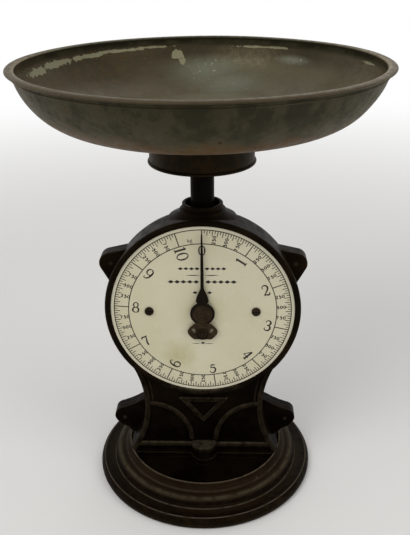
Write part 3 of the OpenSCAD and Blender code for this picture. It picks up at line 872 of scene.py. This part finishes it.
def copy_of(piece: Piece, place: Matrix) -> Piece:
    """Copies a piece with a mesh of its own, and puts the copy's place into that mesh.

    Args:
        piece: The piece to copy.
        place: Where the copy goes, from the piece's own place.

    Returns:
        The copy.
    """
    twin = piece.copy()
    twin.data = piece.data.copy()
    twin.data.transform(place)
    bpy.context.collection.objects.link(twin)
    return twin


def drop(*patterns: Piece) -> None:
    """Deletes pattern pieces that were only there to be copied."""
    for pattern in patterns:
        bpy.data.objects.remove(pattern)


def wear(piece: Piece, finish: bpy.types.Material) -> None:
    """Gives a piece one finish all over.

    Args:
        piece: The piece.
        finish: The finish.
    """
    if not piece.material_slots:
        piece.data.materials.append(finish)
    for slot in piece.material_slots:
        slot.material = finish


def settle(piece: Piece, body: Body, finish: bpy.types.Material, slot: Slot | None = None) -> None:
    """Dresses a new piece, sets it on its body and reports it.

    Args:
        piece: The piece, with its place in its mesh.
        body: The body that it rides on.
        finish: Its finish.
        slot: The record's slot for its finish, if it has one; not used.
    """
    wear(piece, finish)
    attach(piece, body.value)
    log.info("%s: %d faces on %s", piece.name, len(piece.data.polygons), body.value)


Pen = tuple[float, float, float]
THICK, MEDIUM, THIN, BALL = 0.175, 0.135, 0.092, 0.22


@dataclass(frozen=True)
class Stroke:
    """One stroke of the pen: its points, each with the pen's width, in a figure one unit tall."""

    points: tuple[Pen, ...]
    closed: bool = False
    curved: bool = True


def oval(x: float, y: float, wide: float, tall: float, side: float = THICK) -> Stroke:
    """A closed oval that is thick at its sides and thin at its head and foot.

    Args:
        x: Its middle, across.
        y: Its middle, up.
        wide: Half its width.
        tall: Half its height.
        side: The pen's width at its sides.

    Returns:
        The stroke.
    """
    lean = 0.72
    corner = (side + THIN) / 2
    knots = ((1, 0, side), (lean, lean, corner), (0, 1, THIN), (-lean, lean, corner),
             (-1, 0, side), (-lean, -lean, corner), (0, -1, THIN), (lean, -lean, corner))
    return Stroke(tuple((x + across * wide, y + up * tall, pen) for across, up, pen in knots), closed=True)


def bar(x0: float, y0: float, x1: float, y1: float, width: float) -> Stroke:
    """A straight stroke of even width."""
    return Stroke(((x0, y0, width), (x1, y1, width)), curved=False)


def dot(x: float, y: float, width: float = BALL) -> Stroke:
    """A round end of a stroke."""
    reach, end = 0.02, width * 0.7
    return Stroke(((x - reach, y, end), (x, y, width), (x + reach, y, end)), curved=False)


SIX = (oval(0.0, -0.21, 0.25, 0.27),
       Stroke(((-0.25, -0.19, THICK), (-0.215, 0.12, THICK), (-0.06, 0.40, MEDIUM), (0.14, 0.47, THIN),
               (0.21, 0.39, THIN))),
       dot(0.20, 0.36))

FIGURES: dict[str, tuple[Stroke, ...]] = {
    "0": (oval(0.0, 0.0, 0.27, 0.475),),
    "1": (bar(0.0, 0.47, 0.0, -0.47, THICK), bar(-0.17, -0.475, 0.17, -0.475, THIN),
          Stroke(((0.0, 0.45, MEDIUM), (-0.09, 0.36, THIN), (-0.19, 0.34, THIN)))),
    "2": (dot(-0.19, 0.25),
          Stroke(((-0.23, 0.25, THIN), (-0.17, 0.42, THIN), (0.02, 0.48, MEDIUM), (0.21, 0.36, THICK),
                  (0.22, 0.14, THICK), (0.02, -0.14, MEDIUM), (-0.20, -0.36, THIN), (-0.25, -0.46, THIN))),
          Stroke(((-0.24, -0.44, THIN), (-0.10, -0.40, MEDIUM), (0.10, -0.46, THICK), (0.22, -0.42, MEDIUM),
                  (0.27, -0.26, THIN)))),
    "3": (dot(-0.18, 0.31),
          Stroke(((-0.22, 0.32, THIN), (-0.12, 0.45, THIN), (0.05, 0.48, MEDIUM), (0.20, 0.36, THICK),
                  (0.18, 0.14, THICK), (0.03, 0.04, THIN), (-0.07, 0.03, THIN))),
          Stroke(((-0.04, 0.03, THIN), (0.14, -0.02, MEDIUM), (0.26, -0.20, THICK), (0.18, -0.41, THICK),
                  (0.0, -0.49, MEDIUM), (-0.18, -0.42, THIN), (-0.24, -0.30, THIN))),
          dot(-0.20, -0.30)),
    "4": (bar(0.10, 0.47, -0.29, -0.19, THIN), bar(-0.30, -0.19, 0.29, -0.19, THIN),
          bar(0.11, 0.47, 0.11, -0.47, THICK), bar(-0.04, -0.475, 0.26, -0.475, THIN)),
    "5": (Stroke(((-0.17, 0.44, MEDIUM), (0.0, 0.41, THICK), (0.21, 0.45, THIN))),
          bar(-0.175, 0.44, -0.195, 0.04, THIN),
          Stroke(((-0.195, 0.05, THIN), (-0.03, 0.15, MEDIUM), (0.18, 0.08, THICK), (0.26, -0.15, THICK),
                  (0.16, -0.40, THICK), (-0.03, -0.49, MEDIUM), (-0.20, -0.42, THIN), (-0.25, -0.31, THIN))),
          dot(-0.21, -0.32)),
    "6": SIX,
    "7": (bar(-0.26, 0.25, -0.23, 0.46, THIN),
          Stroke(((-0.24, 0.36, THIN), (-0.10, 0.43, THICK), (0.08, 0.38, MEDIUM), (0.27, 0.44, THIN))),
          Stroke(((0.26, 0.44, THIN), (0.10, 0.10, MEDIUM), (0.0, -0.22, THICK), (-0.02, -0.47, THICK)))),
    "8": (oval(0.0, 0.24, 0.19, 0.23, MEDIUM), oval(0.0, -0.235, 0.25, 0.24)),
    "9": tuple(Stroke(tuple((-x, -y, pen) for x, y, pen in stroke.points), stroke.closed, stroke.curved)
               for stroke in SIX),
}


@dataclass(frozen=True)
class Lettering:
    """A round of figures: its name and radius, how tall and how far apart they are, and how heavy the pen is."""

    name: str
    radius: float
    tall: float
    pitch: float
    pen: float = 1.0


@dataclass(frozen=True)
class Row:
    """A row of one kind of mark on each side of the dial's middle, by how far out it starts and how high it is."""

    mark: str
    out: float
    up: float
    size: float
    pitch: float = 0.0
    count: int = 1


@dataclass
class DialPrint:
    """What is printed on the dial: two rings, the scale's marks, the figures and a plain ornament.

    Places are told from the dial's centre, and bearings run clockwise from the top.
    """

    face: float = -25.4
    proud: float = 0.06
    outer_line: float = 72.15
    inner_line: float = 60.4
    line: float = 0.74
    ring_sides: int = 288
    curve_steps: int = 5
    curve_facets: int = 1
    kilogram_line: float = 0.80
    long_tick: float = 4.6
    short_tick: float = 2.7
    tick: float = 0.60
    large: Lettering = Lettering("kilogram_figures", 54.6, 9.5, 0.60)
    small: Lettering = Lettering("gram_figures", 64.1, 2.75, 0.98, 2.0)
    upright: tuple[int, ...] = (0, 5)
    upright_share: float = 0.9
    unit_at: Spot = (-8.6, 62.4)
    unit_tall: float = 4.6
    kilograms: int = 10
    turns_for: float = 10.5
    ticks_each: int = 20
    ink: bpy.types.Material | None = None
    marks: dict[str, Stroke] = field(default_factory=lambda: {
        "rule": Stroke(((-0.5, 0, 0.012), (-0.2, 0, 0.06), (0, 0, 0.078), (0.2, 0, 0.06), (0.5, 0, 0.012))),
        "ball": dot(0, 0, 1.0),
        "lozenge": Stroke(((-0.5, 0, 0.01), (0, 0, 0.72), (0.5, 0, 0.01)), curved=False),
    })
    rows: tuple[Row, ...] = (
        Row("lozenge", 4.0, 39.0, 4.2, 4.4, 4),
        Row("ball", 6.2, 39.0, 1.1, 4.4, 4),
        Row("rule", 7.4, 33.2, 12.0),
        Row("lozenge", 4.8, 27.4, 5.0, 5.1, 5),
        Row("ball", 7.35, 27.4, 1.5, 5.1, 5),
        Row("lozenge", 5.8, 17.8, 4.2),
        Row("ball", 9.2, 17.8, 1.3),
        Row("ball", 13.6, -17.4, 1.5),
        Row("rule", 5.2, -29.6, 8.0),
        Row("ball", 2.8, -28.2, 1.0),
        Row("lozenge", 0.0, -29.0, 3.6),
    )

    def build(self) -> None:
        """Makes every piece of the print."""
        self.ink = Ink().make()
        self._rings()
        self._ticks()
        loads = range(self.kilograms + 1)
        self._figures(self.large, {load: str(load) for load in loads})
        self._figures(self.small, {load + grams / 1000: str(grams) for load in loads[:-1] for grams in (250, 500, 750)})
        self._unit()
        self._ornament()

    def _lay(self, pieces: Sequence[Piece], name: str) -> None:
        """Joins pieces of print and settles them on the dial."""
        settle(join(pieces, name), Body.STAND, self.ink)

    def _bearing(self, load: float) -> float:
        """The bearing of a load in kilograms, in radians."""
        return FULL_TURN * load / self.turns_for

    def _spot(self, bearing: float, radius: float, turn: float, size: float) -> Matrix:
        """Where a mark drawn upright round the origin goes.

        Args:
            bearing: Its bearing in radians.
            radius: Its distance from the dial's centre.
            turn: How far it is turned clockwise, in radians.
            size: How many millimetres one unit of the mark is.

        Returns:
            The matrix, in metres.
        """
        place = Vector((radius * math.sin(bearing), self.face, SPINDLE + radius * math.cos(bearing)))
        flat = Matrix.Diagonal((size * MM, MM, size * MM, 1.0))
        return Matrix.Translation(place * MM) @ Matrix.Rotation(turn, 4, "Y") @ flat

    def _ring(self, radius: float) -> Piece:
        """Makes one printed line round the dial.

        Args:
            radius: The radius of its middle.

        Returns:
            The line as a thin flat hoop.
        """
        outside, inside = radius + self.line / 2, radius - self.line / 2
        pick()
        bpy.ops.mesh.primitive_circle_add(vertices=self.ring_sides, radius=outside)
        hoop = bpy.context.object
        with editing():
            bpy.ops.mesh.extrude_edges_move()
            bpy.ops.transform.resize(value=(inside / outside, inside / outside, 1))
            bpy.ops.mesh.select_all(action="SELECT")
            bpy.ops.mesh.extrude_region_move(TRANSFORM_OT_translate={"value": (0, 0, 2 * self.proud)})
        upright = Matrix.Rotation(math.radians(90), 4, "X") @ Matrix.Translation((0, 0, -self.proud))
        hoop.data.transform(self._spot(0, 0, 0, 1) @ upright)
        return hoop

    def _rings(self) -> None:
        """The two lines that the scale's marks stand between."""
        self._lay([self._ring(self.outer_line), self._ring(self.inner_line)], "scale_rings")

    def _ticks(self) -> None:
        """The marks of every 50 grams, longer at 100 grams and right across at each kilogram."""
        pick()
        bpy.ops.mesh.primitive_cube_add(size=1)
        pattern = bpy.context.object
        marks = []
        for count in range(self.kilograms * self.ticks_each + 1):
            whole, hundred = count % self.ticks_each == 0, count % 2 == 0
            long = self.outer_line - self.inner_line if whole else self.long_tick if hundred else self.short_tick
            wide = self.kilogram_line if whole else self.tick
            bearing = self._bearing(count / self.ticks_each)
            shape = Matrix.Diagonal((wide, 2 * self.proud, long, 1.0))
            marks.append(copy_of(pattern, self._spot(bearing, self.outer_line - long / 2, bearing, 1) @ shape))
        drop(pattern)
        self._lay(marks, "scale_marks")

    def _glyph(self, strokes: Sequence[Stroke], pen: float = 1.0) -> Piece:
        """Draws one figure, one unit tall, from strokes of a pen whose width changes.

        Args:
            strokes: Its strokes.
            pen: How much heavier the pen is.

        Returns:
            The figure as a mesh on the origin, its face towards -Y and as thin as print.
        """
        drawn = []
        for stroke in strokes:
            pick()
            bpy.ops.curve.primitive_bezier_curve_add()
            curve = bpy.context.object.data
            curve.splines.clear()
            spline = curve.splines.new("BEZIER")
            spline.bezier_points.add(len(stroke.points) - 1)
            for knot, (x, y, width) in zip(spline.bezier_points, stroke.points):
                knot.co = (x, 0.0, y)
                knot.radius = width * pen
                knot.handle_left_type = knot.handle_right_type = "AUTO" if stroke.curved else "VECTOR"
            spline.use_cyclic_u = stroke.closed
            curve.resolution_u = self.curve_steps
            curve.bevel_depth = 0.5
            curve.bevel_resolution = self.curve_facets
            curve.use_fill_caps = not stroke.closed
            bpy.ops.object.convert(target="MESH")
            drawn.append(bpy.context.object)
        figure = join(drawn, "figure")
        thickest = max(abs(corner.co.y) for corner in figure.data.vertices)
        figure.data.transform(Matrix.Diagonal((1.0, self.proud / thickest, 1.0, 1.0)))
        return figure

    def _figures(self, style: Lettering, words: dict[float, str]) -> None:
        """Sets a round of figures with their feet or their heads to the middle, apart from the two that stand upright.

        Args:
            style: How they are set.
            words: The figures by the load in kilograms that they tell.
        """
        glyphs = {key: self._glyph(FIGURES[key], style.pen) for key in sorted(set("".join(words.values())))}
        placed = []
        for load, word in words.items():
            bearing = self._bearing(load)
            turn, tall = bearing - math.radians(90 if bearing < math.pi else 270), style.tall
            if load in self.upright:
                turn, tall = 0.0, style.tall * self.upright_share
            centre = self._spot(bearing, style.radius, turn, tall)
            first = -style.pitch * (len(word) - 1) / 2
            placed += [copy_of(glyphs[key], centre @ Matrix.Translation((first + style.pitch * place, 0, 0)))
                       for place, key in enumerate(word)]
        drop(*glyphs.values())
        self._lay(placed, style.name)

    def _unit(self) -> None:
        """The plain unit in the gap between 10 and 0."""
        pick()
        bpy.ops.object.text_add()
        word = bpy.context.object
        word.data.body = "kg"
        word.data.align_x = "CENTER"
        word.data.extrude = self.proud
        bpy.ops.object.convert(target="MESH")
        word = bpy.context.object
        bearing, radius = math.radians(self.unit_at[0]), self.unit_at[1]
        upright = Matrix.Rotation(math.radians(90), 4, "X")
        word.data.transform(self._spot(bearing, radius, bearing, self.unit_tall) @ upright)
        self._lay([word], "unit_mark")

    def _ornament(self) -> None:
        """Plain printer's rules, lozenges and dots above and below the pointer's boss."""
        patterns = {name: self._glyph((stroke,)) for name, stroke in self.marks.items()}
        placed = []
        for row in self.rows:
            for hand in (-1, 1) if row.out else (1,):
                for count in range(row.count):
                    across = hand * (row.out + row.pitch * count)
                    bearing, radius = math.atan2(across, row.up), math.hypot(across, row.up)
                    placed.append(copy_of(patterns[row.mark], self._spot(bearing, radius, 0.0, row.size)))
        drop(*patterns.values())
        self._lay(placed, "dial_ornament")


def round_outline(up: float, radius: float, sides: int = 48) -> list[Spot]:
    """A round outline about a spot above or below the origin."""
    turns = [FULL_TURN * side / sides for side in range(sides)]
    return [(radius * math.cos(turn), up + radius * math.sin(turn)) for turn in turns]


@dataclass
class Pointer:
    """The pointer: a flat needle with a bud above its stepped hub, and a bell-shaped tail with a raised ring and knob.

    Places are told from the spindle, across and up, with the needle upright as it stands at rest. The layers of
    needle, hub, boss and ring are told by the Y of their backs and fronts.
    """

    side: tuple[Spot, ...] = (
        (0.0, 71.1), (0.40, 68.5), (0.62, 60.0), (0.95, 49.0), (1.10, 36.0), (1.20, 23.4), (1.70, 21.4), (2.60, 19.4),
        (3.60, 17.2), (4.45, 14.8), (5.00, 12.4), (5.00, 11.3), (4.30, 10.5), (3.90, 9.6), (3.90, -8.6), (5.60, -9.1),
        (7.20, -9.9), (9.30, -11.7), (11.10, -13.8), (12.00, -15.5), (12.10, -16.9), (11.60, -18.6), (10.3, -20.4),
        (8.70, -22.1), (7.00, -23.4))
    edge: float = 0.2
    edge_facets: int = 1
    weld: float = 0.001
    needle: Spot = (-28.0, -29.1)
    hub: Spot = (-27.6, -29.2)
    boss: Spot = (-29.0, -30.3)
    raised: Spot = (-29.0, -29.9)
    hub_radius: float = 10.0
    boss_radius: float = 8.0
    disc_sides: int = 96
    bore: float = 1.52
    slot_radius: float = 1.15
    slot_half: float = 1.0
    slot_at: Spot = (7.2, -15.6)
    slot_lean: float = 24.0
    slot_sides: int = 16
    ring_up: float = -18.4
    ring: Spot = (5.1, 4.0)
    knob: float = 2.2
    soften: float = 40.0

    def _slots(self) -> list[list[Spot]]:
        """Draws the two slots in the tail, leaning with its sides.

        Returns:
            Their outlines.
        """
        end = round_outline(0, self.slot_radius + self.edge, self.slot_sides)
        turn = self.slot_sides // 2
        outline = [(x, y + self.slot_half) for x, y in end[:turn + 1]]
        outline += [(x, y - self.slot_half) for x, y in [*end[turn:], end[0]]]
        across, up = self.slot_at
        placed = []
        for hand in (-1, 1):
            lean = math.radians(-self.slot_lean * hand)
            placed.append([(across * hand + x * math.cos(lean) - y * math.sin(lean),
                            up + x * math.sin(lean) + y * math.cos(lean)) for x, y in outline])
        return placed

    def _sheet(self, outlines: Sequence[Sequence[Spot]], back: float, front: float) -> Piece:
        """Cuts a flat piece with rounded edges that stands in front of the dial.

        Args:
            outlines: Its outline and those of its holes, drawn inside the rounding.
            back: The Y place of its back.
            front: The Y place of its front.

        Returns:
            The piece, in metres and in its place.
        """
        pick()
        bpy.ops.curve.primitive_bezier_circle_add()
        curve = bpy.context.object.data
        curve.splines.clear()
        curve.dimensions = "2D"
        curve.fill_mode = "BOTH"
        for outline in outlines:
            spline = curve.splines.new("POLY")
            spline.points.add(len(outline) - 1)
            for knot, (x, y) in zip(spline.points, outline):
                knot.co = (x, y, 0.0, 1.0)
            spline.use_cyclic_u = True
        curve.bevel_depth = self.edge
        curve.bevel_resolution = self.edge_facets
        curve.extrude = (back - front) / 2 - self.edge
        bpy.ops.object.convert(target="MESH")
        sheet = bpy.context.object
        with editing(self.weld):
            pass
        place = Matrix.Translation((0, (back + front) / 2 * MM, SPINDLE * MM))
        sheet.data.transform(place @ Matrix.Rotation(math.radians(90), 4, "X") @ Matrix.Scale(MM, 4))
        return sheet

    def build(self) -> None:
        """Makes the pointer in place of its plain solid."""
        outline = list(self.side) + [(-x, y) for x, y in reversed(self.side[1:])]
        hole = round_outline(0, self.bore + self.edge)
        outer, inner = self.ring
        pointer = join([
            self._sheet([outline, hole, *self._slots()], *self.needle),
            self._sheet([round_outline(0, self.hub_radius - self.edge, self.disc_sides), hole], *self.hub),
            self._sheet([round_outline(0, self.boss_radius - self.edge, self.disc_sides), hole], *self.boss),
            self._sheet([round_outline(self.ring_up, outer - self.edge),
                         round_outline(self.ring_up, inner + self.edge)], *self.raised),
            self._sheet([round_outline(self.ring_up, self.knob - self.edge)], *self.raised),
        ], "shaped_pointer")
        smooth(pointer, self.soften)
        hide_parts("pointer")
        settle(pointer, Body.ARBOR, Needle().make(), Slot.BLUED)


@dataclass(frozen=True)
class Dent:
    """A knock in the pan's wall, by bearing from the right-hand side, height, width and depth."""

    bearing: float
    height: float
    width: float
    depth: float


@dataclass
class Pan:
    """The round tin pan: spun from its section, with a rolled rim, and knocked a little out of true.

    The section is the solid's own: a flat floor, a shallow dish and a turned-up wall.
    """

    radius: float = 141.5
    floor: float = 312.5
    flat: float = 45.0
    dish: float = 258.0
    bend: float = 51.5
    bend_in: float = 55.0
    tin: float = 0.9
    roll_wide: float = 3.5
    roll_tall: float = 1.35
    roll_up: float = 47.6
    roll_from: float = -98.0
    roll_turn: float = 296.0
    roll_steps: int = 28
    roll_gap: float = 0.3
    bead: float = 0.7
    bead_up: float = 43.2
    bead_gap: float = 0.2
    bead_arc: tuple[float, float, int] = (-70.0, 75.0, 6)
    sides: int = 180
    weld: float = 0.00001
    soften: float = 50.0
    still: float = 70.0
    wobble: float = 0.18
    inward_waves: tuple[Place, ...] = ((0.5, 2, 0.7), (0.5, 5, 2.1))
    sinking_waves: tuple[Place, ...] = ((0.6, 3, 0.4), (0.4, 7, 1.2))
    dent_flat: float = 1.3
    dents: tuple[Dent, ...] = (
        Dent(-118, 338, 17, 0.9),
        Dent(-62, 344, 22, 0.7),
        Dent(-20, 336, 15, 0.8),
        Dent(38, 340, 20, 0.9),
        Dent(97, 343, 13, 1.0),
        Dent(160, 341, 18, 0.8),
        Dent(-150, 345, 15, 0.6),
    )

    @staticmethod
    def _arc(centre: Vector, radius: float, start: float, end: float, steps: int) -> list[Vector]:
        """Points along an arc in the section plane.

        Args:
            centre: Its centre, across and up.
            radius: Its radius.
            start: Its first bearing in degrees.
            end: Its last bearing in degrees.
            steps: How many stretches it has.

        Returns:
            The points.
        """
        turns = [math.radians(start + (end - start) * step / steps) for step in range(steps + 1)]
        return [centre + radius * Vector((math.cos(turn), math.sin(turn))) for turn in turns]

    def _section(self) -> list[Vector]:
        """Draws the section of the sheet, from the axis out along its underside, round the roll and back inside.

        Returns:
            Its points, across and up.
        """
        dish = Vector((self.flat, self.floor + self.dish))
        across = self.radius - self.bend_in
        bend = Vector((across, dish.y - math.sqrt((self.dish - self.bend) ** 2 - (across - self.flat) ** 2)))
        join_at = math.degrees(math.atan2(bend.y - dish.y, bend.x - dish.x))

        def angle_at(height: float, radius: float = self.bend) -> float:
            """The bearing at which the bend reaches a height."""
            return math.degrees(math.asin((height - bend.y) / radius))

        thin = self.bend - self.tin
        seam = self.floor + self.bead_up
        low, high = seam - self.bead, seam + self.bead + self.bead_gap
        top = self.floor + self.roll_up - self.roll_tall - self.roll_gap
        fold_at = bend + Vector((math.sqrt(self.bend ** 2 - (seam - bend.y) ** 2), seam - bend.y))
        middle = Vector((self.radius - self.roll_wide, self.floor + self.roll_up))
        roll = self._arc(Vector((0, 0)), 1.0, self.roll_from, self.roll_from + self.roll_turn, self.roll_steps)
        return [
            Vector((0, self.floor)),
            *self._arc(dish, self.dish, -90, join_at, 10),
            *self._arc(bend, self.bend, join_at, angle_at(low), 18)[1:],
            *self._arc(fold_at, self.bead, *self.bead_arc),
            *self._arc(bend, self.bend, angle_at(high), angle_at(top), 2),
            *(middle + Vector((self.roll_wide * spot.x, self.roll_tall * spot.y)) for spot in roll),
            *self._arc(bend, thin, angle_at(low, thin), join_at, 20),
            *self._arc(dish, self.dish - self.tin, join_at, -90, 10)[1:],
            Vector((0, self.floor + self.tin)),
        ]

    def _spun(self) -> Piece:
        """Spins the section about the upright axis.

        Returns:
            The closed shell.
        """
        section = self._section()
        mesh = bpy.data.meshes.new("pan_section")
        mesh.from_pydata([(spot.x * MM, 0, spot.y * MM) for spot in section],
                         [(step, step + 1) for step in range(len(section) - 1)], [])
        shell = bpy.data.objects.new("round_pan", mesh)
        bpy.context.collection.objects.link(shell)
        pick(shell)
        with editing(self.weld):
            bpy.ops.mesh.spin(steps=self.sides, angle=FULL_TURN, center=(0, 0, 0), axis=(0, 0, 1))
        return shell

    def _wave(self, waves: Sequence[Place], bearing: float) -> float:
        """How far the wall is out of true at a bearing, from waves of a height, a count round the pan and a start."""
        return self.wobble * (1 + sum(height * math.sin(count * bearing + start) for height, count, start in waves))

    def _knock(self, shell: Piece) -> None:
        """Moves the wall a little out of round and pushes the dents in, always inward, and leaves the floor flat.

        Args:
            shell: The spun pan.
        """
        for corner in shell.data.vertices:
            spot = corner.co / MM
            out = math.hypot(spot.x, spot.y)
            share = min(1.0, (out - self.still) / (self.radius - self.still))
            if share <= 0.0:
                continue
            bearing = math.atan2(spot.y, spot.x)
            inward = share * self._wave(self.inward_waves, bearing)
            for dent in self.dents:
                turn = math.remainder(bearing - math.radians(dent.bearing), FULL_TURN)
                near = math.hypot(turn * out, self.dent_flat * (spot.z - dent.height)) / dent.width
                inward += dent.depth * math.exp(-near * near)
            corner.co.x -= inward * MM * spot.x / out
            corner.co.y -= inward * MM * spot.y / out
            corner.co.z -= share * share * self._wave(self.sinking_waves, bearing) * MM

    def build(self) -> None:
        """Makes the pan in place of its plain solid."""
        shell = self._spun()
        self._knock(shell)
        smooth(shell, self.soften)
        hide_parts("pan")
        settle(shell, Body.PAN, OldTin().make(), Slot.TIN)


@dataclass
class Solids:
    """The carried-over nodes by their finishes: the cast stand, the plate, the rods and the works inside."""

    dress: tuple[tuple[Finish, tuple[str, ...]], ...] = (
        (Japan(), ("base", "front_casing", "rear_casing")),
        (Enamel(), ("dial_plate",)),
        (BrownTin(), ("pan_collar",)),
        (Needle(), ("pointer_cap", "spindle")),
        (Steel("blued_steel", (0.0100, 0.0075, 0.0055), (0.040, 0.029, 0.018), 0.36, 0.3, 0.12, tint=(1.0, 0.8, 0.6)),
         ("base_bolts", "dial_screws", "crossbar")),
        (Steel("black_post", (0.0012, 0.0010, 0.0008), (0.0046, 0.0037, 0.0029), 0.33, 0.0, 0.025, (1, 1, 12),
               (1.0, 0.85, 0.7)),
         ("post", "head_plate", "casing_screws")),
        (Steel("bright_steel", (0.40, 0.40, 0.38), (0.24, 0.21, 0.17), 0.30, 1.0, 0.5),
         ("bridge_screws", "upper_eyebolts", "upper_eyebolt_nuts", "left_spring", "right_spring", "link_pivot_pins",
          "crossbar_nut", "lower_eyebolts", "lower_eyebolt_nuts", "rack_screws", "post_pins", "upper_link",
          "lower_link")),
        (Steel("yellow_brass", (0.46, 0.33, 0.12), (0.26, 0.17, 0.06), 0.30, 1.0, 0.5),
         ("spindle_bridge", "rack", "pinion")),
    )

    def build(self) -> None:
        """Dresses the nodes."""
        for finish, nodes in self.dress:
            made = finish.make()
            for node in nodes:
                wear(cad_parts[node], made)
                log.info("%s wears %s", node, made.name)


@dataclass(frozen=True)
class Lamp:
    """A soft square lamp: its name, its place, the length of its side and its power in watts."""

    name: str
    place: Place
    size: float
    power: float


@dataclass
class Studio:
    """Pale floor, soft lights, white backdrop and the photograph's camera."""

    floor_radius: float = 3.0
    floor_sides: int = 96
    camera_at: Place = (0.0201, -0.5490, 0.4477)
    yaw: float = math.radians(-1.94)
    pitch: float = math.radians(24.81)
    roll: float = math.radians(-0.56)
    focal_pixels: float = 728.6
    image_tall: int = 535
    sensor: float = 36.0
    nearest: float = 0.01
    ambient: float = 0.55
    lamps_aim: Place = (0.0, 0.0, 0.18)
    lamps: tuple[Lamp, ...] = (
        Lamp("key", (-0.75, -0.95, 1.45), 0.95, 11.0),
        Lamp("fill", (1.15, -0.75, 0.95), 0.9, 5.0),
        Lamp("back", (0.25, 1.25, 1.25), 0.9, 2.5),
    )

    def build(self) -> None:
        """Sets up everything round the object."""
        self._floor()
        self._world()
        for lamp in self.lamps:
            self._hang(lamp)
        self._camera()

    def _floor(self) -> None:
        """A round floor with a soft fade."""
        pick()
        bpy.ops.mesh.primitive_circle_add(vertices=self.floor_sides, radius=self.floor_radius, fill_type="NGON")
        floor = bpy.context.object
        floor.name = "floor"
        wear(floor, PaleFloor().make())

    def _world(self) -> None:
        """Soft light from all round, which looks white to the eye, in mirrors and through glass."""
        world = bpy.data.worlds.new("studio")
        bpy.context.scene.world = world
        g = Graph(world)
        light = g.coats((self.ambient,) * 3, (g.seen(), WHITE))
        g.feed(g.output, "Surface", g.fed(g.add("Background"), {"Color": light}))

    def _hang(self, lamp: Lamp) -> None:
        """Hangs one lamp, aimed at the middle of the object.

        Args:
            lamp: The lamp.
        """
        pick()
        bpy.ops.object.light_add(type="AREA", location=lamp.place)
        light = bpy.context.object
        light.name = lamp.name
        light.data.size = lamp.size
        light.data.energy = lamp.power
        light.rotation_mode = "QUATERNION"
        light.rotation_quaternion = (Vector(self.lamps_aim) - Vector(lamp.place)).to_track_quat("-Z", "Y")

    def _camera(self) -> None:
        """The camera as fitted to the photograph's dial, rim and base."""
        data = bpy.data.cameras.new("camera")
        data.sensor_width = self.sensor
        data.lens = self.focal_pixels / self.image_tall * self.sensor
        data.clip_start = self.nearest
        camera = bpy.data.objects.new("camera", data)
        bpy.context.collection.objects.link(camera)
        forward = Vector((math.sin(self.yaw) * math.cos(self.pitch), math.cos(self.yaw) * math.cos(self.pitch),
                          -math.sin(self.pitch)))
        level = Vector((math.cos(self.yaw), -math.sin(self.yaw), 0))
        upward = level.cross(forward)
        right = level * math.cos(self.roll) + upward * math.sin(self.roll)
        up = upward * math.cos(self.roll) - level * math.sin(self.roll)
        turn = Matrix((right, up, -forward)).transposed().to_4x4()
        camera.matrix_world = Matrix.Translation(self.camera_at) @ turn
        bpy.context.scene.camera = camera


def main() -> None:
    """Builds the studio, dresses the solids, prints the dial, cuts the pointer and spins the pan."""
    logging.basicConfig(level=logging.INFO, format="%(name)s: %(message)s")
    bpy.context.scene.view_settings.view_transform = "Standard"
    Studio().build()
    Solids().build()
    DialPrint().build()
    Pointer().build()
    Pan().build()


if __name__ == "__main__":
    main()
